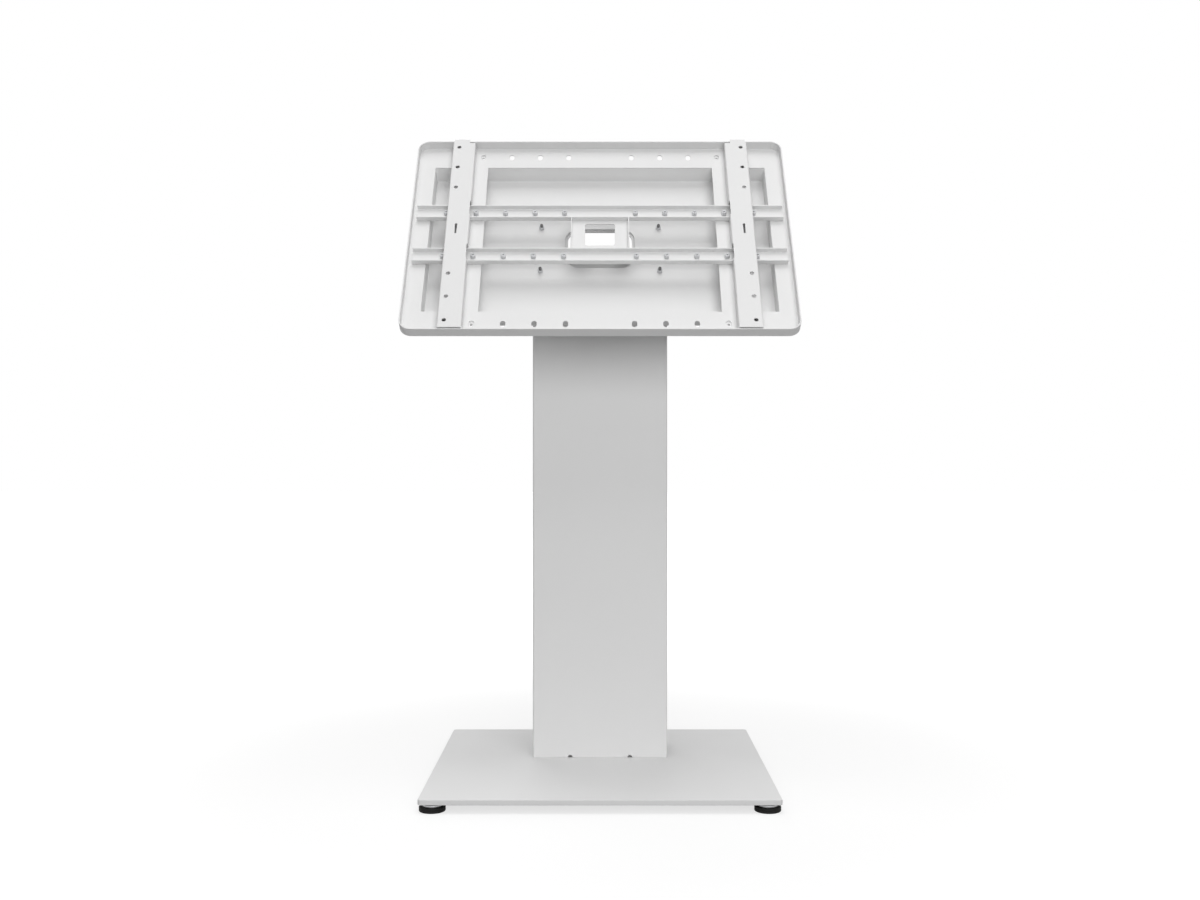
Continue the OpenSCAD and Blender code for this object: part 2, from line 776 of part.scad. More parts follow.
module arm_lock_screw(side) {
    tip = -rail_s - rail_h / 2 - slide_gap;
    color(dark_zinc) on_head() translate([side * arm_mid_x, tab_s, lock_n])
        rotate([-90, 0, 0]) {
            cylinder(d = lock_d, h = tip - tab_s);
            translate([0, 0, -lock_head_h]) difference() {
                cylinder(d = lock_head_d, h = lock_head_h);
                translate([0, 0, -cut]) hexagon(0.6 * lock_d, lock_head_h / 2 + cut);
            }
        }
}

base_plate();
foot_pad(-1, -1);  // foot_front_left_pad
foot_stud(-1, -1);  // foot_front_left_stud
foot_pad(1, -1);  // foot_front_right_pad
foot_stud(1, -1);  // foot_front_right_stud
foot_pad(-1, 1);  // foot_back_left_pad
foot_stud(-1, 1);  // foot_back_left_stud
foot_pad(1, 1);  // foot_back_right_pad
foot_stud(1, 1);  // foot_back_right_stud
column_shell();
column_foot_plate();
base_bolts();
column_top_plate();
column_rear_cover();
rear_cover_screws();
head_cheek(-1);  // head_cheek_left
head_cheek(1);  // head_cheek_right
head_web();
head_bracket_bolts();
head_bracket_nuts();
head_plate();
head_doubler();
head_studs();
head_stud_nuts();
rear_box();
tray_pan();
tray_bar(-1);  // tray_bar_left
tray_bar(1);  // tray_bar_right
slot_nut_plates();
rail(1);  // upper_rail
rail(-1);  // lower_rail
rail_standoffs(1);  // upper_rail_standoffs
rail_standoffs(-1);  // lower_rail_standoffs
centre_bracket();
arm(-1);  // left_arm
arm_hooks(-1);  // left_arm_hooks
arm_lock_screw(-1);  // left_arm_lock_screw
arm(1);  // right_arm
arm_hooks(1);  // right_arm_hooks
arm_lock_screw(1);  // right_arm_lock_screw
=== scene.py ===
"""The looks of a kiosk floor stand: base plate, column, tilted tray and two sliding arms."""
import math

import bmesh
import bpy
import numpy as np
from mathutils.geometry import delaunay_2d_cdt
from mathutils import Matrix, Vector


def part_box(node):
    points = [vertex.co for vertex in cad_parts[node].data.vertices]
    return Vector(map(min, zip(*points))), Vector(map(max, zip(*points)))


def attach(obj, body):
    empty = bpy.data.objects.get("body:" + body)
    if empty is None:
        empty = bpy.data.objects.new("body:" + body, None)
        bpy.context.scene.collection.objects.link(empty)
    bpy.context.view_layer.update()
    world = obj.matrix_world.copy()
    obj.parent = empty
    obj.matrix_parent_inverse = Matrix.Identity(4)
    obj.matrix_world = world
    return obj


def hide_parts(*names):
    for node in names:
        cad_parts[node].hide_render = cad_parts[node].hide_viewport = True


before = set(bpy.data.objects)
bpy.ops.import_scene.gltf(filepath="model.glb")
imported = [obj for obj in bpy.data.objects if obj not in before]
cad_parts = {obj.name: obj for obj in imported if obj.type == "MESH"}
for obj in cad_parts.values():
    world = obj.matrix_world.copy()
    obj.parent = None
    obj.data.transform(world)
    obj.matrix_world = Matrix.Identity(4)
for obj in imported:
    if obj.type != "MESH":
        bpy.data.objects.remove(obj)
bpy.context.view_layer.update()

# The photograph's view. A level camera stands 2.19 m in front of the base and 0.54 m up,
# so the base is seen from a little above and the tray from below.
EYE = (0.0, -2.1902, 0.5366)
LENS_MM = 39.51
HORIZON_DROP = 0.65 / 1200       # in frame widths, from the frame's middle to the horizon

camera = bpy.data.objects.new("camera", bpy.data.cameras.new("camera"))
camera.data.lens = LENS_MM
camera.data.sensor_width = 36.0
camera.data.shift_y = HORIZON_DROP
camera.data.clip_end = 60.0
camera.location = EYE
camera.rotation_euler = (math.pi / 2, 0.0, 0.0)
bpy.context.scene.collection.objects.link(camera)
bpy.context.scene.camera = camera
bpy.context.scene.view_settings.view_transform = "Standard"


# The studio: a white sweep of floor and air, a broad lamp overhead, one in front and a
# weaker one behind. The camera sees the floor white far out and it takes a soft shadow; near the
# stand its glow is dimmed, a painted soft shade round the object.
WHITE = (1.0, 1.0, 1.0, 1.0)
AIR_LIGHT = 0.28
LAMPS = {
    "overhead_lamp": dict(at=(0.0, -0.9, 5.2), size=3.4, watts=122.0),
    "front_lamp": dict(at=(0.6, -3.6, 1.6), size=2.6, watts=66.0),
    "rear_lamp": dict(at=(-0.9, 3.5, 1.9), size=2.4, watts=42.0),
}
LAMP_AIM = (0.0, 0.0, 0.62)
FLOOR_WIDTH = 30.0
FLOOR_GREY = 0.32
SHADED_GLOW_NEAR, GLOW_FAR = 0.70, 1.0
GLOW_FROM, GLOW_TO = 0.5, 1.8


def nodes_of(material):
    """An empty node tree for a material or the world."""
    material.use_nodes = True
    material.node_tree.nodes.clear()
    return material.node_tree


def node(tree, kind, links=(), **settings):
    """A new shader node: settings name its properties or sockets, links are (socket, source)."""
    new = tree.nodes.new(kind)
    for name, value in settings.items():
        if hasattr(new, name):
            setattr(new, name, value)
        else:
            new.inputs[name.replace("_", " ")].default_value = value
    for socket, source in links:
        tree.links.new(source, new.inputs[socket])
    return new


def seen_straight(tree):
    """1 for rays of the eye, of mirrors and through glass, and 0 for light that bounces."""
    path = node(tree, "ShaderNodeLightPath").outputs
    seen = path["Is Camera Ray"]
    for kind in ("Is Glossy Ray", "Is Transmission Ray"):
        either = node(tree, "ShaderNodeMath", [(0, seen), (1, path[kind])], operation="MAXIMUM")
        seen = either.outputs[0]
    return seen


world = bpy.data.worlds.new("air")
bpy.context.scene.world = world
tree = nodes_of(world)
lit = node(tree, "ShaderNodeBackground", Color=WHITE, Strength=AIR_LIGHT)
white = node(tree, "ShaderNodeBackground", Color=WHITE, Strength=1.0)
mixed = node(tree, "ShaderNodeMixShader", [(0, seen_straight(tree)), (1, lit.outputs[0]),
                                           (2, white.outputs[0])])
node(tree, "ShaderNodeOutputWorld", [("Surface", mixed.outputs[0])])

for name, lamp in LAMPS.items():
    light = bpy.data.lights.new(name, "AREA")
    light.shape = "SQUARE"
    light.size = lamp["size"]
    light.energy = lamp["watts"]
    body = bpy.data.objects.new(name, light)
    body.location = lamp["at"]
    body.visible_glossy = name == "front_lamp"     # the others would glare in the base and column
    towards = np.subtract(LAMP_AIM, lamp["at"])
    body.rotation_euler = (
        math.acos(-towards[2] / np.linalg.norm(towards)), 0.0,
        math.atan2(-towards[0], towards[1]))
    bpy.context.scene.collection.objects.link(body)

half = FLOOR_WIDTH / 2
floor = bpy.data.meshes.new("floor")
corners = [(-half, -half, 0), (half, -half, 0), (half, half, 0), (-half, half, 0)]
floor.from_pydata(corners, [], [(0, 1, 2, 3)])
floor = bpy.data.objects.new("floor", floor)
bpy.context.scene.collection.objects.link(floor)
floor_finish = bpy.data.materials.new("studio_floor")
tree = nodes_of(floor_finish)
grey = node(tree, "ShaderNodeBsdfDiffuse", Color=(FLOOR_GREY, FLOOR_GREY, FLOOR_GREY, 1.0))
place = node(tree, "ShaderNodeTexCoord").outputs["Object"]
reach = node(tree, "ShaderNodeVectorMath", [(0, place)], operation="LENGTH")
# The glow is weaker near the stand: painted shade on the floor round the object.
rise = node(tree, "ShaderNodeMapRange", [("Value", reach.outputs["Value"])],
            interpolation_type="SMOOTHSTEP", From_Min=GLOW_FROM, From_Max=GLOW_TO,
            To_Min=SHADED_GLOW_NEAR, To_Max=GLOW_FAR)
glow = node(tree, "ShaderNodeEmission", [("Strength", rise.outputs[0])], Color=WHITE)
pale = node(tree, "ShaderNodeAddShader", [(0, grey.outputs[0]), (1, glow.outputs[0])])
mixed = node(tree, "ShaderNodeMixShader", [(0, seen_straight(tree)), (1, grey.outputs[0]),
                                           (2, pale.outputs[0])])
node(tree, "ShaderNodeOutputMaterial", [("Surface", mixed.outputs[0])])
floor.data.materials.append(floor_finish)


# Base plate: one laser-cut plate of 8 mm steel with rounded corners, powder-coated pale grey.
# Blind threaded holes under its corners take the feet, and four through holes the column's bolts.
MM = 0.001
RIGHT_ANGLE = math.pi / 2
BASE_W, BASE_D, BASE_T, BASE_CORNER_R = 540 * MM, 494 * MM, 8 * MM, 5 * MM
BASE_BOTTOM = 13 * MM
BASE_TOP = BASE_BOTTOM + BASE_T
BASE_EDGE = 0.7 * MM
FOOT_INSET = 20 * MM
BOLT_X, BOLT_MID_Y, BOLT_PITCH, BOLT_HOLE_D = 75 * MM, 79 * MM, 56 * MM, 8.8 * MM


def rounded(w, l, r, at=(0.0, 0.0), steps=8):
    """A rectangle's outline with round corners, from the right side anticlockwise: each corner's
    centre plus r times (cos, sin) of a quarter turn. With w = l = 2 r it is a circle."""
    turn = np.arange(4)[:, None] * RIGHT_ANGLE + np.linspace(0, RIGHT_ANGLE, steps + 1)
    corner = np.array([(1, 1), (-1, 1), (-1, -1), (1, -1)])[:, None] * (w / 2 - r, l / 2 - r)
    outline = (corner + r * np.stack([np.cos(turn), np.sin(turn)], -1)).reshape(-1, 2) + at
    return outline[np.linalg.norm(outline - np.roll(outline, 1, 0), axis=1) > 1e-7]


def circle(d, at, steps=6):
    """A round hole's outline of diameter d, with this many steps to a quarter turn."""
    return rounded(d, d, d / 2, at, steps)


def at_corners(x, y, mid_y=0.0):
    """Four places, at -x and x, each at y under and over mid_y."""
    return [(side * x, mid_y + end * y) for side in (-1, 1) for end in (-1, 1)]


def moved_in(loop, by):
    """The loop moved to its left: each corner goes by / (1 + n.m) times the sum of n and m, the
    normals of its two edges."""
    ahead = np.roll(loop, -1, 0) - loop
    normal = np.stack([-ahead[:, 1], ahead[:, 0]], -1) / np.linalg.norm(ahead, axis=1)[:, None]
    before = np.roll(normal, 1, 0)
    return loop + by * (normal + before) / (1 + (normal * before).sum(-1, keepdims=True))


def split(loop, creases):
    """The loop with a corner added wherever one of its edges crosses a crease u = constant."""
    for u in creases:
        ahead = np.roll(loop, -1, 0)
        hit = np.flatnonzero((loop[:, 0] - u) * (ahead[:, 0] - u) < -1e-14)
        part = (u - loop[hit, 0]) / (ahead[hit, 0] - loop[hit, 0])
        crossing = loop[hit] + part[:, None] * (ahead[hit] - loop[hit])
        loop = np.insert(loop, hit + 1, crossing, axis=0)
    return loop


def filled(loops, creases):
    """Triangles between an outline and its holes, none of them across a crease. Those kept have a
    centre with an odd number of edges to its right."""
    corners = np.concatenate(loops)
    low, high = corners[:, 1].min() - MM, corners[:, 1].max() + MM
    first = np.cumsum([0] + [len(loop) for loop in loops])
    edges = [(n, n + 1) for n in range(len(corners))]
    for start, end in zip(first[:-1], first[1:]):
        edges[end - 1] = (end - 1, start)
    lines = [(u, v) for u in creases for v in (low, high)]
    edges += [(n, n + 1) for n in range(len(corners), len(corners) + len(lines), 2)]
    flat = corners.tolist() + lines
    points, _, faces = delaunay_2d_cdt([tuple(p) for p in flat], edges, [], 0, 1e-7)[:3]
    triangles = np.array([tuple(p) for p in points])[np.array(faces)]
    x, y = np.moveaxis(triangles.mean(1)[:, None], -1, 0)
    odd = np.zeros(len(triangles), int)
    for loop in loops:
        (ax, ay), (bx, by) = loop.T, np.roll(loop, -1, 0).T
        beside = (ay > y) != (by > y)
        odd += (beside & (x < ax + (bx - ax) * (y - ay) / np.where(beside, by - ay, 1.0))).sum(1)
    return triangles[odd % 2 == 1]


def swept(rings, flip=False):
    """Quads between neighbouring rings, each ring a closed loop of points."""
    ahead = np.roll(rings, -1, 1)
    quads = np.stack([rings[:-1], rings[1:], ahead[1:], ahead[:-1]], 2).reshape(-1, 4, 3)
    return quads[:, ::-1] if flip else quads


def deep(flat, w):
    """Flat corners (u, v) with the depth w as their third coordinate."""
    return np.insert(flat, 2, w, axis=-1)


def slab(loops, t, edge=0.35 * MM, creases=(), open_rim=False):
    """Faces of a flat sheet as corners (u, v, w), w the depth under its upper face. Each rim is a
    quarter circle at both faces: moved in by edge (1 - sin a), at depth edge (1 - cos a). Creases
    are the lines u where the sheet will bend, and an open rim is left for a wall to close."""
    a = np.linspace(0, RIGHT_ANGLE, 3)
    row = np.stack([edge * (1 - np.sin(a)), edge * (1 - np.cos(a))], -1)
    rows = np.concatenate([row, np.stack([row[::-1, 0], t - row[::-1, 1]], -1)])
    patches, inner = [], []
    for n, loop in enumerate(split(loop, creases) for loop in loops):
        if n == 0 and open_rim:
            inner.append(loop)
            continue
        rings = np.stack([deep(moved_in(loop, by if n == 0 else -by), w) for by, w in rows])
        patches.append(swept(rings, flip=n > 0))
        inner.append(rings[0, :, :2])
    face = filled(inner, creases)
    return patches + [deep(face, 0.0), deep(face, t)[:, ::-1]]


def placed(patches, place):
    """The patches with every corner (u, v, w) put through place, which works on whole arrays."""
    return [np.stack(place(*np.moveaxis(patch, -1, 0)), -1) for patch in patches]


def piece(name, body, finish, patches, *nodes):
    """An object of welded patches that takes the place of CAD nodes and moves with a body."""
    faces, corners = [], np.concatenate([patch.reshape(-1, 3) for patch in patches])
    start = 0
    for patch in patches:
        count, sides = patch.shape[:2]
        faces += (start + np.arange(count * sides).reshape(-1, sides)).tolist()
        start += count * sides
    mesh = bpy.data.meshes.new(name)
    mesh.from_pydata(corners.tolist(), [], faces)
    work = bmesh.new()
    work.from_mesh(mesh)
    bmesh.ops.remove_doubles(work, verts=work.verts, dist=2e-6)
    bmesh.ops.dissolve_degenerate(work, dist=1e-7, edges=work.edges)
    work.to_mesh(mesh)
    work.free()
    mesh.shade_smooth()
    mesh.materials.append(finish)
    obj = bpy.data.objects.new(name, mesh)
    bpy.context.scene.collection.objects.link(obj)
    obj.modifiers.new("facing", "WEIGHTED_NORMAL").keep_sharp = True
    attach(obj, body)
    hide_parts(*nodes)


def finish_of(name, slot):
    """A new material that stands for a slot of the record, its node tree and the place it is at."""
    material = bpy.data.materials.new(name)
    material["slot"] = slot
    tree = nodes_of(material)
    return material, tree, node(tree, "ShaderNodeTexCoord").outputs["Object"]


def noise(tree, place, scale, detail, **settings):
    """Soft random clouds from 0 to 1, about scale of them to the metre."""
    return node(tree, "ShaderNodeTexNoise", [("Vector", place)],
                Scale=scale, Detail=detail, **settings).outputs["Fac"]


def between(tree, share, dark, light):
    """A colour that goes from dark, where share is 0, to light, where it is 1."""
    mix = node(tree, "ShaderNodeMix", [("Factor", share)], data_type="RGBA")
    mix.inputs[6].default_value, mix.inputs[7].default_value = (*dark, 1.0), (*light, 1.0)
    return mix.outputs[2]


def skin(tree, colour, bump, links=(), **settings):
    """The shader of a finish, with its colour and bump linked in, led to the output."""
    links = [("Base Color", colour), ("Normal", bump.outputs[0]), *links]
    shader = node(tree, "ShaderNodeBsdfPrincipled", links, **settings)
    node(tree, "ShaderNodeOutputMaterial", [("Surface", shader.outputs[0])])


def powder_coat(name, slot, grey_level, grain=0.0011):
    """Fine-textured powder coat: a light neutral grey with an orange peel of grain metres."""
    material, tree, place = finish_of(name, slot)
    cloud = noise(tree, place, scale=9.0, detail=3.0)
    speck = noise(tree, place, scale=2.2 / grain, detail=2.0)
    peel = noise(tree, place, scale=1.0 / grain, detail=3.0, Roughness=0.6)
    dull = (grey_level * 0.985, grey_level * 0.985, grey_level * 0.985)
    clear = (grey_level * 1.012, grey_level * 1.012, grey_level * 1.010)
    grain_tint = node(tree, "ShaderNodeMapRange", [("Value", speck)], To_Min=0.96, To_Max=1.04)
    colour = node(tree, "ShaderNodeVectorMath", [(0, between(tree, cloud, dull, clear)),
                                                 (1, grain_tint.outputs[0])], operation="MULTIPLY")
    rough = node(tree, "ShaderNodeMapRange", [("Value", peel)], To_Min=0.44, To_Max=0.60)
    bump = node(tree, "ShaderNodeBump", [("Height", peel)], Strength=0.25, Distance=0.12 * MM)
    skin(tree, colour.outputs[0], bump, [("Roughness", rough.outputs[0])])
    return material


base_coat = powder_coat("base_coat", "base_powder", 0.75)
foot_places = at_corners(BASE_W / 2 - FOOT_INSET, BASE_D / 2 - FOOT_INSET)
bolt_places = at_corners(BOLT_X, BOLT_PITCH / 2, BOLT_MID_Y)
blank = [rounded(BASE_W, BASE_D, BASE_CORNER_R)] + [circle(BOLT_HOLE_D, at) for at in bolt_places]
plate = placed(slab(blank, BASE_T, BASE_EDGE), lambda u, v, w: (u, v, BASE_TOP - w))
piece("base_plate_steel", "stand", base_coat, plate, "base_plate")


# Four levelling feet: a black rubber pad with a groove round it, moulded under a zinc-plated
# steel flange whose spanner hexagon and M8 stud screw into the base plate.
PAD_R, PAD_H, PAD_EDGE, GROOVE_R = 20 * MM, 8 * MM, 1.4 * MM, 19.1 * MM
FLANGE_R, FLANGE_T, FLANGE_EDGE = 15 * MM, 3 * MM, 0.4 * MM
SPIGOT_R, SPIGOT_H = 8 * MM, 5 * MM
HEX_AF, HEX_H, HEX_FACE_R, HEX_FAR_R = 13 * MM, 1.7 * MM, 6.3 * MM, 7.6 * MM
FOOT_THREAD_D, FOOT_PITCH, FOOT_THREAD_H = 8 * MM, 1.25 * MM, 6.6 * MM
ROUND = 1.0


def carried_round(radius, height, angle):
    """The surface through (radius cos a, radius sin a, height), a row of radii to each height."""
    x, y = radius * np.cos(angle), radius * np.sin(angle)
    return swept(np.stack([x, y, height + 0 * radius], -1))


def turned(rows, steps=48):
    """A profile carried round z from the top down. A row is (radius, height, width across flats),
    and the radius is held to width / 2 / cos(angle from the nearest flat's middle). A row without
    a width is ROUND, wider than anything turned here."""
    radius, height, flats = np.array([(*row, ROUND)[:3] for row in rows]).T[:, :, None]
    angle = np.arange(steps) * 2 * math.pi / steps
    held = flats / 2 / np.cos((angle + math.pi / 6) % (math.pi / 3) - math.pi / 6)
    return carried_round(np.minimum(radius, held), height, angle)


def threaded(d, pitch, top, bottom, steps=24, per_turn=6):
    """A screw shaft: the radius falls from d / 2 by 0.6 pitch times a triangle wave of height /
    pitch minus angle / 2 pi, and is held to a cone at both ends."""
    height = np.arange(top, bottom, -pitch / per_turn)[:, None]
    angle = np.arange(steps) * 2 * math.pi / steps
    wave = np.abs(2 * ((height / pitch - angle / (2 * math.pi)) % 1.0) - 1)
    cone = d / 2 - 0.7 * pitch + np.minimum(top - height, height - height[-1])
    radius = np.minimum(d / 2 - 0.6 * pitch * wave, cone)
    radius = np.pad(radius, ((1, 1), (0, 0)))
    height = np.pad(height, ((1, 1), (0, 0)), mode="edge")
    return carried_round(radius, height, angle)


def metal(name, slot, grey_level, rough, tone=(1.0, 1.0, 1.0), grain=0.0009, bare=1.0):
    """Plated steel: a tinted metal whose roughness and level drift in clouds and fine grains. bare
    is the share that mirrors like bare metal, and the rest is the milky skin of the plating."""
    material, tree, place = finish_of(name, slot)
    cloud = noise(tree, place, scale=160.0, detail=3.0)
    fine = noise(tree, place, scale=1.0 / grain, detail=3.0)
    both = node(tree, "ShaderNodeMath", [(0, cloud), (1, fine)], operation="ADD")
    dull, clear = ([share * grey_level * part for part in tone] for share in (0.88, 1.10))
    satin = node(tree, "ShaderNodeMapRange", [("Value", both.outputs[0])],
                 From_Max=2.0, To_Min=rough - 0.10, To_Max=rough + 0.10)
    bump = node(tree, "ShaderNodeBump", [("Height", fine)], Strength=0.2, Distance=0.04 * MM)
    skin(tree, between(tree, cloud, dull, clear), bump,
         [("Roughness", satin.outputs[0])], Metallic=bare)
    return material


def black_rubber():
    """Moulded rubber: near black, matt, with a fine pebbled skin and paler dusty clouds."""
    material, tree, place = finish_of("black_rubber", "rubber")
    dust = noise(tree, place, scale=60.0, detail=4.0)
    pebble = node(tree, "ShaderNodeTexVoronoi", [("Vector", place)], Scale=1400.0)
    bump = node(tree, "ShaderNodeBump", [("Height", pebble.outputs["Distance"])],
                Strength=0.3, Distance=0.1 * MM)
    skin(tree, between(tree, dust, (0.006, 0.006, 0.006), (0.016, 0.016, 0.015)), bump,
         Roughness=0.7, Specular_IOR_Level=0.2)
    return material


zinc = metal("zinc_plate", "zinc", 0.62, 0.36, tone=(0.99, 1.0, 1.02), bare=0.62)
rubber = black_rubber()
groove = [(PAD_R, 5.0 * MM), (GROOVE_R, 4.6 * MM), (GROOVE_R, 3.9 * MM), (PAD_R, 3.5 * MM)]
pad_rows = [(0, PAD_H), (PAD_R - 1.6 * MM, PAD_H), (PAD_R - 0.6 * MM, PAD_H - 0.4 * MM),
            (PAD_R, PAD_H - PAD_EDGE), *groove, (PAD_R, PAD_EDGE), (PAD_R - 0.6 * MM, 0.4 * MM),
            (PAD_R - PAD_EDGE, 0), (0, 0)]
hex_bottom = PAD_H + FLANGE_T
hex_top = hex_bottom + HEX_H
flange_rows = [(FLANGE_R - FLANGE_EDGE, hex_bottom), (FLANGE_R, hex_bottom - FLANGE_EDGE),
               (FLANGE_R, PAD_H + FLANGE_EDGE), (FLANGE_R - FLANGE_EDGE, PAD_H)]
stud_rows = [(0, hex_top), (HEX_FACE_R, hex_top, HEX_AF),
             (HEX_FACE_R + 1.0 * MM, hex_top - 0.5 * MM, HEX_AF),
             (HEX_FAR_R, hex_bottom, HEX_AF), *flange_rows, (SPIGOT_R, PAD_H),
             (SPIGOT_R, PAD_H - SPIGOT_H + FLANGE_EDGE), (SPIGOT_R - FLANGE_EDGE, PAD_H - SPIGOT_H),
             (0, PAD_H - SPIGOT_H)]
for x, y in foot_places:
    corner = "foot_%s_%s" % ("front" if y < 0 else "back", "left" if x < 0 else "right")

    def under_corner(u, v, w):
        return x + u, y + v, w

    pad = placed([turned(pad_rows, 96)], under_corner)
    piece(corner + "_rubber", corner, rubber, pad, corner + "_pad")
    shaft = threaded(FOOT_THREAD_D, FOOT_PITCH, BASE_BOTTOM + FOOT_THREAD_H, PAD_H - 2 * MM)
    stud = placed([turned(stud_rows, 96), shaft], under_corner)
    piece(corner + "_steel", corner, zinc, stud, corner + "_stud")


# Column: one blank of 2 mm sheet folded round four edges into a box open to the back between two
# returns. Two half-round reliefs are cut in its lower front edge, and it is coated pale grey.
COL_W, COL_D, COL_T, COL_BEND_R = 226 * MM, 110 * MM, 2 * MM, 3 * MM
COL_FRONT, COL_RETURN = 24 * MM, 18 * MM
COL_BACK, COL_MID = COL_FRONT + COL_D, COL_FRONT + COL_D / 2
COL_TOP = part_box("column_shell")[1][2]
RELIEF_R, RELIEF_X = 4 * MM, 50 * MM
SCREW_ROWS, SCREW_END, SCREW_THREAD_D, COVER_GAP = 4, 40 * MM, 4.1 * MM, 0.4 * MM


def arc(centre, r, start, end, steps=4):
    """Points centre + r (cos a, sin a), a from start to end in right angles."""
    a = np.linspace(start, end, steps + 1) * RIGHT_ANGLE
    return np.array(centre) + r * np.stack([np.cos(a), np.sin(a)], -1)


def bend_lines(straights, r, sides=(-1, 1), steps=6):
    """The lines u of each bend's arc, both ends and between, on these sides of u = 0."""
    ends = np.cumsum(straights) + np.arange(len(straights)) * r * RIGHT_ANGLE
    lines = np.concatenate([end + np.linspace(0, r * RIGHT_ANGLE, steps + 1) for end in ends])
    return np.concatenate([side * lines for side in sides])


def folded(u, w, straights, r):
    """Where a folded sheet's corner (u, w) lies, across and down. Its upper face runs straight out
    from u = 0, each straight ends in an arc of radius r through a right angle, and after the last
    arc it runs on straight. The depth w is taken off along the normal."""
    left, across, down, heading = np.abs(u), 0.0, 0.0, 0.0
    for n, straight in enumerate([*straights, math.inf]):
        run = np.clip(left, 0, straight)
        bend = np.clip((left - straight) / r, 0, RIGHT_ANGLE) if n < len(straights) else 0 * left
        turn = n * RIGHT_ANGLE
        across = across + run * math.cos(turn) + r * (np.sin(turn + bend) - math.sin(turn))
        down = down + run * math.sin(turn) + r * (math.cos(turn) - np.cos(turn + bend))
        heading = heading + bend
        left = left - straight - r * RIGHT_ANGLE
    return np.sign(u) * (across - w * np.sin(heading)), down + w * np.cos(heading)


# Set a little lighter than the base and head coats: painted light on the column and its rear cover.
column_coat_brightened = powder_coat("column_coat_brightened", "column_powder", 0.78)
col_straights = [COL_W / 2 - COL_BEND_R, COL_D - 2 * COL_BEND_R]
col_return_u = sum(col_straights) + 2 * COL_BEND_R * RIGHT_ANGLE
col_edge_u = col_return_u + COL_T + COL_RETURN - COL_BEND_R
col_h = COL_TOP - BASE_TOP
screw_zs = np.linspace(BASE_TOP + COVER_GAP + SCREW_END, COL_TOP - SCREW_END, SCREW_ROWS)
screw_u = col_return_u + COL_T + COL_RETURN / 2 - COL_BEND_R
reliefs = [arc((side * RELIEF_X, 0), RELIEF_R, 2, 0, 12) for side in (-1, 1)]
blank = np.concatenate([[(-col_edge_u, 0)], *reliefs,
                        [(col_edge_u, 0), (col_edge_u, col_h), (-col_edge_u, col_h)]])
screw_holes = [circle(SCREW_THREAD_D, (side * screw_u, z - BASE_TOP))
               for side in (-1, 1) for z in screw_zs]


def round_column(u, v, w):
    x, back = folded(u, w, col_straights, COL_BEND_R)
    return x, COL_FRONT + back, BASE_TOP + v


shell = slab([blank, *screw_holes], COL_T, creases=bend_lines(col_straights, COL_BEND_R))
piece("column_sheet", "stand", column_coat_brightened, placed(shell, round_column), "column_shell")


# Inside the column: an 8 mm foot plate and a 4 mm top plate, welded in, each with a wide slot
# for the cables. Four M8 button-head screws hold the foot plate down from under the base.
WELD_GAP = 0.2 * MM
INNER_W = COL_W - 2 * (COL_T + WELD_GAP)
FOOT_PLATE_T, TOP_PLATE_T, FOOT_PLATE_GAP = 8 * MM, 4 * MM, 8 * MM
BOLT_THREAD_D, CHEEK_BOLT_HOLE_D = 8.1 * MM, 6.8 * MM
CHEEK_BOLT_X, CHEEK_BOLT_END = 84 * MM, 18 * MM
CABLE_SLOT_W, CABLE_SLOT_L, CUT_CORNER_R = 110 * MM, 40 * MM, 1 * MM
foot_front, inner_front = COL_FRONT + COL_T + FOOT_PLATE_GAP, COL_FRONT + COL_T + WELD_GAP
inner_back = COL_BACK - COL_T - WELD_GAP
cheek_front, cheek_back = inner_front + COL_T, inner_back - COL_T
cheek_bolt_y = (cheek_back - cheek_front) / 2 - CHEEK_BOLT_END
cheek_bolt_places = at_corners(CHEEK_BOLT_X, cheek_bolt_y, COL_MID)
cable_slot = rounded(CABLE_SLOT_W, CABLE_SLOT_L, CABLE_SLOT_L / 2, at=(0, COL_MID))
foot_l, foot_mid = inner_back - foot_front, (inner_back + foot_front) / 2
blank = [rounded(INNER_W, foot_l, CUT_CORNER_R, (0, foot_mid), 2), cable_slot]
blank += [circle(BOLT_THREAD_D, at) for at in bolt_places]
foot_plate = placed(slab(blank, FOOT_PLATE_T),
                    lambda u, v, w: (u, v, BASE_TOP + FOOT_PLATE_T - w))
piece("foot_plate", "stand", column_coat_brightened, foot_plate, "column_foot_plate")
blank = [rounded(INNER_W, inner_back - inner_front, COL_BEND_R, (0, COL_MID)), cable_slot]
blank += [circle(CHEEK_BOLT_HOLE_D, at) for at in cheek_bolt_places]
top_plate = placed(slab(blank, TOP_PLATE_T), lambda u, v, w: (u, v, COL_TOP - w))
piece("top_plate", "stand", column_coat_brightened, top_plate, "column_top_plate")


def button_screw(d, shaft_l, pitch):
    """A button-head socket screw pointing down from z = 0. Its head is a cap, r = 0.95 d cos(a)
    at height 0.55 d sin(a) / sin(a0), and a0 is the angle where its flat crown begins."""
    a = np.linspace(0.62 * RIGHT_ANGLE, 0.06, 8)
    socket = 0.55 * d
    rows = [(0, 0.2 * d), (0.6 * d, 0.2 * d, socket), (0.6 * d, 0.53 * d, socket)]
    rows += [(0.95 * d * math.cos(t), 0.55 * d * math.sin(t) / math.sin(a[0])) for t in a]
    rows += [(0.93 * d, 0), (0.45 * d, 0), (0.45 * d, -0.1 * d), (0, -0.1 * d)]
    return [turned(rows), threaded(d, pitch, 0.05 * d, -shaft_l)]


black_zinc = metal("black_oxide", "black_zinc", 0.10, 0.38)
bolts = []
for x, y in bolt_places:
    bolts += placed(button_screw(d=8 * MM, shaft_l=15.5 * MM, pitch=1.25 * MM),
                    lambda u, v, w: (x + u, y - v, BASE_BOTTOM - w))
piece("base_plate_bolts", "stand", black_zinc, bolts, "base_bolts")


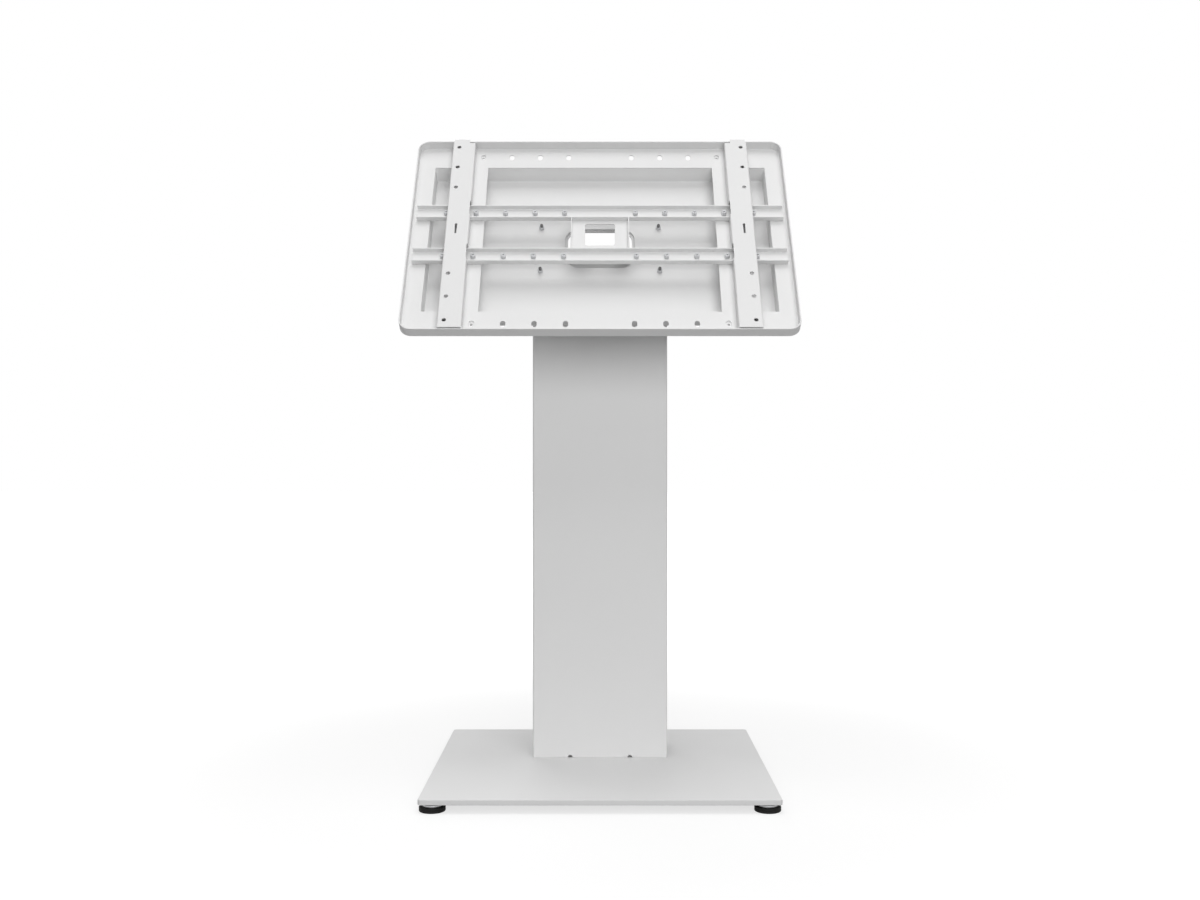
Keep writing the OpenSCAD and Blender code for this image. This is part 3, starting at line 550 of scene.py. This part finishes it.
# Rear cover: a flat 1.5 mm sheet, coated as the column, closes the column's back and leaves a
# notch for the cables at its foot. Eight M4 button-head screws hold it to the returns.
COVER_MARGIN, COVER_T, COVER_HOLE_D = 7 * MM, 1.5 * MM, 4.8 * MM
NOTCH_W, NOTCH_H, NOTCH_R = 60 * MM, 30 * MM, 4 * MM
cover_bottom = BASE_TOP + COVER_GAP
cover_side, cover_h = COL_W / 2 - COVER_MARGIN, COL_TOP - cover_bottom
notch_side = arc((NOTCH_W / 2 - NOTCH_R, NOTCH_H - NOTCH_R), NOTCH_R, 0, 1)
blank = np.concatenate([
    [(-cover_side, 0), (-NOTCH_W / 2, 0)], notch_side * (-1, 1), notch_side[::-1],
    [(NOTCH_W / 2, 0), (cover_side, 0), (cover_side, cover_h), (-cover_side, cover_h)]])
cover_screw_x = COL_W / 2 - COL_T - COL_RETURN / 2
screw_holes = [circle(COVER_HOLE_D, (side * cover_screw_x, z - cover_bottom))
               for side in (-1, 1) for z in screw_zs]
cover = placed(slab([blank, *screw_holes], COVER_T),
               lambda u, v, w: (-u, COL_BACK + COVER_T - w, cover_bottom + v))
piece("rear_cover_sheet", "stand", column_coat_brightened, cover, "column_rear_cover")
screws = []
for x in (-cover_screw_x, cover_screw_x):
    for z in screw_zs:
        screws += placed(button_screw(d=4 * MM, shaft_l=4.4 * MM, pitch=0.7 * MM),
                         lambda u, v, w: (x - u, COL_BACK + COVER_T + w, z + v))
piece("cover_screws", "stand", black_zinc, screws, "rear_cover_screws")


# Head bracket: two 4 mm cheeks bent from plate stand on the column's top plate, each on a foot
# flange with two M6 bolts, and a folded web ties them together at the back.
TILT = math.radians(54.5)
HEAD_Y, HEAD_Z = 3 * MM, 906 * MM
TRAY_T, DOUBLER_T, HEAD_PLATE_T = 2 * MM, 2 * MM, 2.5 * MM
PAN_BACK_N, BOX_BACK_N = -20 * MM, -52 * MM
PAN_FLOOR_N, BOX_FLOOR_N = PAN_BACK_N + TRAY_T, BOX_BACK_N + TRAY_T
DOUBLER_N = BOX_BACK_N - DOUBLER_T
HEAD_PLATE_N = DOUBLER_N - HEAD_PLATE_T
CHEEK_T, CHEEK_X, CHEEK_FOOT_W, CHEEK_BEND_R = 4 * MM, 100 * MM, 28 * MM, 5 * MM
CHEEK_TOP_S = 70 * MM
WEB_T, WEB_H, WEB_FOLD = 3 * MM, 37 * MM, 15 * MM


def on_head(x, s, n):
    """Head coordinates, across, up the slope and out of it, turned by the tilt into the stand."""
    y = HEAD_Y + s * math.cos(TILT) - n * math.sin(TILT)
    return x, y, HEAD_Z + s * math.sin(TILT) + n * math.cos(TILT)


def slope_z(y, n):
    """The height at y of the sloping plane that lies n out of the head's own."""
    return HEAD_Z + (y - HEAD_Y) * math.tan(TILT) + n / math.cos(TILT)


head_coat = powder_coat("head_coat", "head_powder", 0.75)
cheek_top_y = on_head(0, CHEEK_TOP_S, HEAD_PLATE_N)[1]
cheek_straight = [CHEEK_FOOT_W - CHEEK_BEND_R]
cheek_wall_u = cheek_straight[0] + CHEEK_BEND_R * RIGHT_ANGLE - CHEEK_BEND_R - COL_TOP
cheek_profile = [(cheek_front, slope_z(cheek_front, HEAD_PLATE_N)),
                 (cheek_top_y, slope_z(cheek_top_y, HEAD_PLATE_N)), (cheek_back, COL_TOP + WEB_H)]
blank = np.array([(0, -cheek_back), *[(cheek_wall_u + z, -y) for y, z in cheek_profile[::-1]],
                  (0, -cheek_front)])
bolt_u = CHEEK_FOOT_W - (CHEEK_X - CHEEK_BOLT_X)
bolt_holes = [circle(CHEEK_BOLT_HOLE_D, (bolt_u, -y)) for _, y in cheek_bolt_places[:2]]
cheek = slab([blank, *bolt_holes], CHEEK_T,
             creases=bend_lines(cheek_straight, CHEEK_BEND_R, sides=[1]))
for side, name in ((-1, "left"), (1, "right")):

    def stand_up(u, v, w):
        x, up = folded(u, w, cheek_straight, CHEEK_BEND_R)
        return side * (CHEEK_X - CHEEK_FOOT_W + x), -v, COL_TOP + up

    bent = placed(cheek, stand_up)
    if side < 0:     # mirrored, so its faces are turned to point outwards
        bent = [patch[:, ::-1] for patch in bent]
    piece("cheek_" + name, "stand", head_coat, bent, "head_cheek_" + name)

web_bottom, web_w = COL_TOP + CHEEK_T, 2 * (CHEEK_X - CHEEK_T - WELD_GAP)
web_straight = [WEB_H - CHEEK_T - CHEEK_BEND_R]
web_length = web_straight[0] + CHEEK_BEND_R * RIGHT_ANGLE + WEB_FOLD - CHEEK_BEND_R
blank = rounded(web_length, web_w, CUT_CORNER_R, at=(web_length / 2, 0), steps=2)


def across_back(u, v, w):
    up, forward = folded(u, w, web_straight, CHEEK_BEND_R)
    return v, cheek_back - forward, web_bottom + up


web = slab([blank], WEB_T, creases=bend_lines(web_straight, CHEEK_BEND_R, sides=[1]))
piece("head_web_sheet", "stand", head_coat, placed(web, across_back), "head_web")


# M6 hexagon bolts and nuts clamp the cheeks to the top plate, zinc plated. Their heads lie on
# the cheeks' feet, and the nuts sit under the top plate inside the column.
CHEEK_BOLT_AF, CHEEK_BOLT_HEAD_H, CHEEK_NUT_H = 10 * MM, 4 * MM, 5 * MM
CHEEK_BOLT_D, CHEEK_BOLT_PITCH, CHEEK_BOLT_L = 6 * MM, 1.0 * MM, 13.5 * MM
NUT_SINK, NUT_LEAD = 0.5 * MM, 0.4 * MM


def hexagon_head(af, h, bore=0.0):
    """A hexagon from z = 0 up to h: both faces are turned to a circle of 0.95 af, which meets the
    six flats in a cone of 30 degrees. A nut's bore, a radius, is countersunk at the top."""
    face_r, far_r = 0.475 * af, 0.6 * af
    rise = (far_r - face_r) * math.tan(math.pi / 6)
    top = [(0, h - NUT_SINK), (bore, h - NUT_SINK), (bore + NUT_LEAD, h)] if bore else [(0, h)]
    return turned([*top, (face_r, h), (far_r, h - rise, af), (far_r, rise, af), (face_r, 0),
                   (0, 0)])


fixings, nuts = [], []
for x, y in cheek_bolt_places:
    fixings += placed([hexagon_head(CHEEK_BOLT_AF, CHEEK_BOLT_HEAD_H),
                       threaded(CHEEK_BOLT_D, CHEEK_BOLT_PITCH, 0.5 * MM, -CHEEK_BOLT_L)],
                      lambda u, v, w: (x + u, y + v, COL_TOP + CHEEK_T + w))
    nuts += placed([hexagon_head(CHEEK_BOLT_AF, CHEEK_NUT_H, CHEEK_BOLT_D / 2)],
                   lambda u, v, w: (x + u, y + v, COL_TOP - TOP_PLATE_T - CHEEK_NUT_H + w))
piece("bracket_bolts", "stand", zinc, fixings, "head_bracket_bolts")
piece("bracket_nuts", "stand", zinc, nuts, "head_bracket_nuts")


# Head plate and doubler: two flat plates welded to the cheeks, with a round-cornered window for
# the cables. Four M5 studs are pressed into the plate, and nuts on them hold the box.
HEAD_PLATE_W, HEAD_PLATE_L, HEAD_PLATE_CORNER_R = 240 * MM, 160 * MM, 8.5 * MM
WINDOW_W, WINDOW_L, WINDOW_CORNER_R, WINDOW_S = 117.5 * MM, 91 * MM, 24 * MM, 3.75 * MM
PLATE_WINDOW_W, PLATE_WINDOW_L, PLATE_WINDOW_CORNER_R = 109 * MM, 85 * MM, 21 * MM
STUD_D, STUD_PITCH, STUD_REACH, STUD_X, STUD_S = 5 * MM, 0.8 * MM, 10 * MM, 100 * MM, 50 * MM
STUD_FIT_D, STUD_HOLE_D, STUD_NUT_AF, STUD_NUT_H = 5.1 * MM, 5.8 * MM, 8 * MM, 5.5 * MM
stud_places = at_corners(STUD_X, STUD_S)
window = rounded(WINDOW_W, WINDOW_L, WINDOW_CORNER_R, at=(0, WINDOW_S))
plate_window = rounded(PLATE_WINDOW_W, PLATE_WINDOW_L, PLATE_WINDOW_CORNER_R, at=(0, WINDOW_S))
for name, level, t, opening, hole_d in (
        ("head_plate", HEAD_PLATE_N, HEAD_PLATE_T, plate_window, STUD_FIT_D),
        ("head_doubler", DOUBLER_N, DOUBLER_T, window, STUD_HOLE_D)):
    holes = [opening] + [circle(hole_d, at) for at in stud_places]
    plate = slab([rounded(HEAD_PLATE_W, HEAD_PLATE_L, HEAD_PLATE_CORNER_R), *holes], t)
    piece(name + "_sheet", "stand", head_coat,
          placed(plate, lambda u, v, w: on_head(u, v, level + t - w)), name)
studs, nuts = [], []
for x, s in stud_places:
    studs += placed([threaded(STUD_D, STUD_PITCH, BOX_FLOOR_N + STUD_REACH, HEAD_PLATE_N)],
                    lambda u, v, w: on_head(x + u, s + v, w))
    nuts += placed([hexagon_head(STUD_NUT_AF, STUD_NUT_H, STUD_D / 2)],
                   lambda u, v, w: on_head(x + u, s + v, BOX_FLOOR_N + w))
# The studs are zinc, drawn in a much darker metal: painted shade for the dark of their threads.
shaded_stud_steel = metal("shaded_stud_steel", "zinc", 0.16, 0.42)
piece("head_stud_threads", "stand", shaded_stud_steel, studs, "head_studs")
piece("head_nuts", "stand", zinc, nuts, "head_stud_nuts")


# Rear box: a folded and welded box of 2 mm sheet behind the tray's opening, with a flange welded
# to the tray's back. Its floor has the cable window and clears the four head studs.
POCKET_W, POCKET_L, BOX_FOLD_R = 575 * MM, 334 * MM, 3 * MM
BOX_CORNER_R, BOX_FLANGE, FLANGE_RIM_R, WELD_LEG = 4 * MM + TRAY_T, 12 * MM, 0.35 * MM, 0.8 * MM


def pressed_up(w, l, corner_r, fold_r, back_r, rim, holes, level):
    """A sheet with its edges folded up: a profile (out, up) is carried round the outline w by l. It
    runs up the inner fold's quarter circle, over the rim's points and down the outer fold's."""
    profile = np.concatenate([arc((-fold_r, fold_r), fold_r - TRAY_T, -1, 0), rim,
                              arc((-back_r, back_r), back_r, 0, -1), [(-fold_r, 0)]])

    def outline(out):
        return rounded(w + 2 * out, l + 2 * out, corner_r + out, steps=10)

    rings = np.stack([deep(outline(out), up) for out, up in profile])
    floor_sheet = slab([outline(-fold_r), *holes], TRAY_T, open_rim=True)
    wall = placed([swept(rings)], lambda u, v, up: on_head(u, v, level + up))
    return wall + placed(floor_sheet, lambda u, v, w: on_head(u, v, level + TRAY_T - w))


box_w, box_l, box_h = POCKET_W + 2 * TRAY_T, POCKET_L + 2 * TRAY_T, PAN_BACK_N - BOX_BACK_N
flange_tip = BOX_FLANGE - FLANGE_RIM_R
flange_rim = np.concatenate([
    [(-TRAY_T, box_h)], arc((flange_tip, box_h - FLANGE_RIM_R), FLANGE_RIM_R, 1, 0, 2),
    arc((flange_tip, box_h - TRAY_T + FLANGE_RIM_R), FLANGE_RIM_R, 0, -1, 2),
    [(WELD_LEG, box_h - TRAY_T), (0, box_h - TRAY_T - WELD_LEG)]])
holes = [window] + [circle(STUD_HOLE_D, at) for at in stud_places]
box = pressed_up(box_w, box_l, BOX_CORNER_R, BOX_FOLD_R, BOX_FOLD_R, flange_rim, holes, BOX_BACK_N)
piece("rear_box_sheet", "stand", head_coat, box, "rear_box")


# Tray: a shallow pan of 2 mm sheet with welded, ground corners. Two upright bars cross its
# opening, welded flush, and rows of slots run along the top and bottom edges.
TRAY_W, TRAY_L, TRAY_H, TRAY_CORNER_R = 637 * MM, 435 * MM, 17.8 * MM, 20 * MM
TRAY_FOLD_R, TRAY_BACK_R, LIP_RIM_R = 2.3 * MM, 1.0 * MM, 0.4 * MM
BAR_IN, BAR_W, OPENING_CORNER_R = 195.5 * MM, 50 * MM, 0.6 * MM
SLOT_W, SLOT_L, SLOT_S, SLOT_FIRST_X, SLOT_PITCH = 8.5 * MM, 13 * MM, 193 * MM, 55 * MM, 50 * MM
NUT_PLATE_W, NUT_PLATE_L, NUT_PLATE_T, NUT_THREAD_D = 26 * MM, 24 * MM, 3 * MM, 4.2 * MM
lip_rim = np.concatenate([arc((-TRAY_T + LIP_RIM_R, TRAY_H - LIP_RIM_R), LIP_RIM_R, 2, 1, 3),
                          arc((-LIP_RIM_R, TRAY_H - LIP_RIM_R), LIP_RIM_R, 1, 0, 3)])
side_w = POCKET_W / 2 - BAR_IN - BAR_W
side_x = BAR_IN + BAR_W + side_w / 2
holes = [rounded(2 * BAR_IN, POCKET_L, OPENING_CORNER_R, steps=2)]
holes += [rounded(side_w, POCKET_L, OPENING_CORNER_R, (side * side_x, 0), 2) for side in (-1, 1)]
slot_places = [(side * (SLOT_FIRST_X + SLOT_PITCH * n), row * SLOT_S)
               for side in (-1, 1) for n in range(4) for row in (-1, 1)]
holes += [rounded(SLOT_W, SLOT_L, SLOT_W / 2, at, 6) for at in slot_places]
tray = pressed_up(TRAY_W, TRAY_L, TRAY_CORNER_R, TRAY_FOLD_R, TRAY_BACK_R, lip_rim, holes,
                  PAN_BACK_N)
piece("tray_sheet", "stand", head_coat, tray, "tray_pan", "tray_bar_left", "tray_bar_right")
nut_plate = slab([rounded(NUT_PLATE_W, NUT_PLATE_L, CUT_CORNER_R, steps=2),
                  circle(NUT_THREAD_D, (0, 0))], NUT_PLATE_T)
plates = []
for x, s in at_corners(SLOT_FIRST_X + 3 * SLOT_PITCH, SLOT_S):
    plates += placed(nut_plate, lambda u, v, w: on_head(x + u, s + v, PAN_BACK_N - w))
piece("nut_plates", "stand", head_coat, plates, "slot_nut_plates")


# Rails and centre bracket: channels of 2 mm sheet, open to the front and coated with the tray.
# Clinch standoffs, zinc plated and threaded M4, are pressed into each rail's web.
RAIL_L, RAIL_H, RAIL_D, RAIL_S = 620 * MM, 29 * MM, 10 * MM, 50 * MM
RAIL_BEND_R, RAIL_CORNER_R = 2.4 * MM, 0.8 * MM
STANDOFF_FIRST_X, STANDOFF_PITCH, STANDOFF_COUNT = 60 * MM, 50 * MM, 5
STANDOFF_R, STANDOFF_BORE_R, STANDOFF_H, STANDOFF_EDGE = 4.2 * MM, 2.1 * MM, 9 * MM, 0.3 * MM
CLINCH_H, CLINCH_DEPTH = 2.1 * MM, 0.2 * MM
BRACKET_W, BRACKET_WINDOW = 98 * MM, 50 * MM
BRACKET_WINDOW_R, BRACKET_WINDOW_UP = 4.5 * MM, 2.4 * MM


def channel_width(web, depth, r):
    """Half the flat width of a channel's blank: half the web, one bend and one flange."""
    return web / 2 - r + r * RIGHT_ANGLE + depth - r


def tapped(d, pitch, top, bottom, steps=32, per_turn=6):
    """A threaded hole's wall: the radius falls from d / 2 by 0.5 pitch times a triangle wave of
    height / pitch minus angle / 2 pi, and both mouths open in a cone."""
    height = np.append(np.arange(bottom, top, pitch / per_turn), top)[:, None]
    angle = np.arange(steps) * 2 * math.pi / steps
    wave = np.abs(2 * ((height / pitch - angle / (2 * math.pi)) % 1.0) - 1)
    mouth = d / 2 + 0.1 * MM - np.minimum(top - height, height - bottom)
    radius = np.maximum(d / 2 - 0.5 * pitch * wave, mouth)
    return carried_round(radius, height, angle)


standoff_xs = [side * (STANDOFF_FIRST_X + STANDOFF_PITCH * n)
               for side in (-1, 1) for n in range(STANDOFF_COUNT)]
rail_straight = [RAIL_H / 2 - RAIL_BEND_R]
blank = rounded(2 * channel_width(RAIL_H, RAIL_D, RAIL_BEND_R), RAIL_L, RAIL_CORNER_R, steps=2)
rail = slab([blank] + [circle(2 * STANDOFF_R, (0, x)) for x in standoff_xs], TRAY_T,
            creases=bend_lines(rail_straight, RAIL_BEND_R))
clinch_groove = [(STANDOFF_R, CLINCH_H + CLINCH_DEPTH), (STANDOFF_R - CLINCH_DEPTH, CLINCH_H),
                 (STANDOFF_R, CLINCH_H - CLINCH_DEPTH)]
standoff_rows = [(STANDOFF_BORE_R, STANDOFF_H), (STANDOFF_R - STANDOFF_EDGE, STANDOFF_H),
                 (STANDOFF_R, STANDOFF_H - STANDOFF_EDGE), *clinch_groove,
                 (STANDOFF_R, 0), (STANDOFF_BORE_R, 0)]
standoff = [turned(standoff_rows, 32), tapped(d=4 * MM, pitch=0.7 * MM, top=STANDOFF_H, bottom=0)]
for side, name in ((1, "upper"), (-1, "lower")):

    def on_floor(u, v, w):
        s, up = folded(u, w, rail_straight, RAIL_BEND_R)
        return on_head(v, side * RAIL_S + s, PAN_FLOOR_N + up)

    piece(name + "_rail_sheet", "stand", head_coat, placed(rail, on_floor), name + "_rail")
    row = []
    for x in standoff_xs:
        row += placed(standoff, lambda u, v, w: on_head(x + u, side * RAIL_S + v, PAN_FLOOR_N + w))
    piece(name + "_standoffs", "stand", zinc, row, name + "_rail_standoffs")

bracket_straight = [BRACKET_W / 2 - RAIL_BEND_R]
bracket_l = 2 * RAIL_S - RAIL_H
bracket_flat_w = 2 * channel_width(BRACKET_W, RAIL_D, RAIL_BEND_R)
blank = rounded(bracket_flat_w, bracket_l, RAIL_CORNER_R, steps=2)


def between_rails(u, v, w):
    x, up = folded(u, w, bracket_straight, RAIL_BEND_R)
    return on_head(x, -v, PAN_FLOOR_N + up)


square = rounded(BRACKET_WINDOW, BRACKET_WINDOW, BRACKET_WINDOW_R, (0, -BRACKET_WINDOW_UP), 6)
bracket = slab([blank, square], TRAY_T, creases=bend_lines(bracket_straight, RAIL_BEND_R))
piece("bracket_sheet", "stand", head_coat, placed(bracket, between_rails), "centre_bracket")


# Arms: two channels of 2 mm sheet, open to the back, with six display holes and a keyhole each.
# Their flanges are notched to slide over both rails, welded lugs hook onto the rails, and an M5
# screw through the lug below the lower rail locks the arm.
ARM_W, ARM_L, ARM_T, ARM_D, ARM_BEND_R = 39 * MM, 430 * MM, 2 * MM, 16 * MM, 2.5 * MM
HOLE_X, HOLE_EDGE, HOLE_D, HOLE_ROWS = 246.5 * MM, 11 * MM, 7 * MM, (100 * MM, 150 * MM, 200 * MM)
ARM_OUT_X = HOLE_X + HOLE_EDGE
KEYHOLE_EDGE, KEYHOLE_UP = 17 * MM, 2 * MM
SLIDE_GAP, NOTCH_RISE, FLANGE_LEFT = 0.3 * MM, 3.4 * MM, 7.7 * MM
STEP_W, STEP_H, TAB_H = 10 * MM, 4 * MM, 4.6 * MM
HOOK_W, HOOK_D, HOOK_T, HOOK_N = 24 * MM, 14 * MM, 4 * MM, -9 * MM
LOCK_TAB_T, LOCK_TAB_DOWN, LOCK_HOLE_D = 3 * MM, 6.5 * MM, 5.1 * MM
arm_straight = [ARM_W / 2 - ARM_BEND_R]
arm_edge_u = channel_width(ARM_W, ARM_D, ARM_BEND_R)
bend_start_u = arm_straight[0]
flange_cut_u = bend_start_u + ARM_BEND_R * RIGHT_ANGLE + FLANGE_LEFT - ARM_BEND_R


def keyhole(at, l=22.5 * MM, w=3.2 * MM, d=4.5 * MM):
    """A slot with a round head and a square foot: the head's arc starts where the slot's sides
    meet it, at an angle whose sine is w / d."""
    mouth = math.asin(w / d) / RIGHT_ANGLE
    head = arc((0, (l - d) / 2), d / 2, -1 + mouth, 3 - mouth, 16)
    return np.concatenate([head, [(-w / 2, -l / 2), (w / 2, -l / 2)]]) + at


def notched(side, edge_u, depth_u):
    """One long edge of an arm's blank from the bottom up, notched at both rails down to depth_u."""
    points = [(edge_u, -ARM_L / 2)]
    for row in (-1, 1):
        low = row * RAIL_S - RAIL_H / 2 - SLIDE_GAP
        high = row * RAIL_S + RAIL_H / 2 + NOTCH_RISE
        points += [(edge_u, low), (depth_u, low), (depth_u, high), (edge_u, high)]
    return np.array(points + [(edge_u, ARM_L / 2)]) * (side, 1)


def lug(w, l, t, holes=()):
    """A flat plate w by l with small round corners, t thick."""
    return slab([rounded(w, l, CUT_CORNER_R, steps=3), *holes], t)


def cap_screw(d, head_d, head_h, shaft_l, pitch):
    """A socket cap screw pointing down from z = 0, with a chamfered cylinder head."""
    r, socket = head_d / 2, 0.8 * d
    rows = [(0, 0.35 * head_h), (r, 0.35 * head_h, socket), (r, head_h - 0.2 * MM, socket),
            (0.5 * d, head_h), (r - 0.4 * MM, head_h), (r, head_h - 0.4 * MM), (r, 0.2 * MM),
            (r - 0.2 * MM, 0), (0.45 * d, 0), (0.45 * d, -0.1 * d), (0, -0.1 * d)]
    return [turned(rows), threaded(d, pitch, 0.05 * d, -shaft_l)]


step_u, step_s, arm_top = ARM_W / 2 - STEP_W, ARM_L / 2 - STEP_H, ARM_L / 2 + TAB_H
tab_s = -RAIL_S - RAIL_H / 2 - LOCK_TAB_DOWN
for side, name in ((-1, "left"), (1, "right")):
    mid_x = side * (ARM_OUT_X - ARM_W / 2)
    outer = np.concatenate([notched(side, arm_edge_u, flange_cut_u),
                            [(side * bend_start_u, ARM_L / 2), (side * bend_start_u, arm_top)]])
    inner = np.concatenate([notched(-side, arm_edge_u, bend_start_u + ARM_BEND_R / 2)[:-1],
                            [(-side * arm_edge_u, step_s), (-side * step_u, step_s),
                             (-side * step_u, arm_top)]])
    anticlockwise = [outer, inner[::-1]] if side > 0 else [inner, outer[::-1]]
    blank = np.concatenate(anticlockwise)
    holes = [circle(HOLE_D, (side * (ARM_W / 2 - HOLE_EDGE), row * s))
             for row in (-1, 1) for s in HOLE_ROWS]
    holes.append(keyhole((side * (ARM_W / 2 - KEYHOLE_EDGE), KEYHOLE_UP)))

    def over_rails(u, v, w):
        x, down = folded(u, w, arm_straight, ARM_BEND_R)
        return on_head(mid_x + x, v, -down)

    arm = slab([blank, *holes], ARM_T, creases=bend_lines(arm_straight, ARM_BEND_R))
    piece(name + "_arm_sheet", name + "_arm", head_coat, placed(arm, over_rails), name + "_arm")
    lugs = []
    for row in (-1, 1):
        start = row * RAIL_S + RAIL_H / 2 + SLIDE_GAP
        lugs += placed(lug(HOOK_W, HOOK_D, HOOK_T),
                       lambda u, v, w: on_head(mid_x + u, start + w, HOOK_N + v))
    tab = lug(ARM_W - 2 * ARM_BEND_R, HOOK_D, LOCK_TAB_T, [circle(LOCK_HOLE_D, (0, 0))])
    lugs += placed(tab, lambda u, v, w: on_head(mid_x + u, tab_s + w, HOOK_N + v))
    piece(name + "_lugs", name + "_arm", head_coat, lugs, name + "_arm_hooks")
    lock = cap_screw(d=5 * MM, head_d=9 * MM, head_h=3.5 * MM, shaft_l=6.2 * MM, pitch=0.8 * MM)
    screw = placed(lock, lambda u, v, w: on_head(mid_x + u, tab_s - w, HOOK_N + v))
    piece(name + "_lock_screw", name + "_arm", black_zinc, screw, name + "_arm_lock_screw")
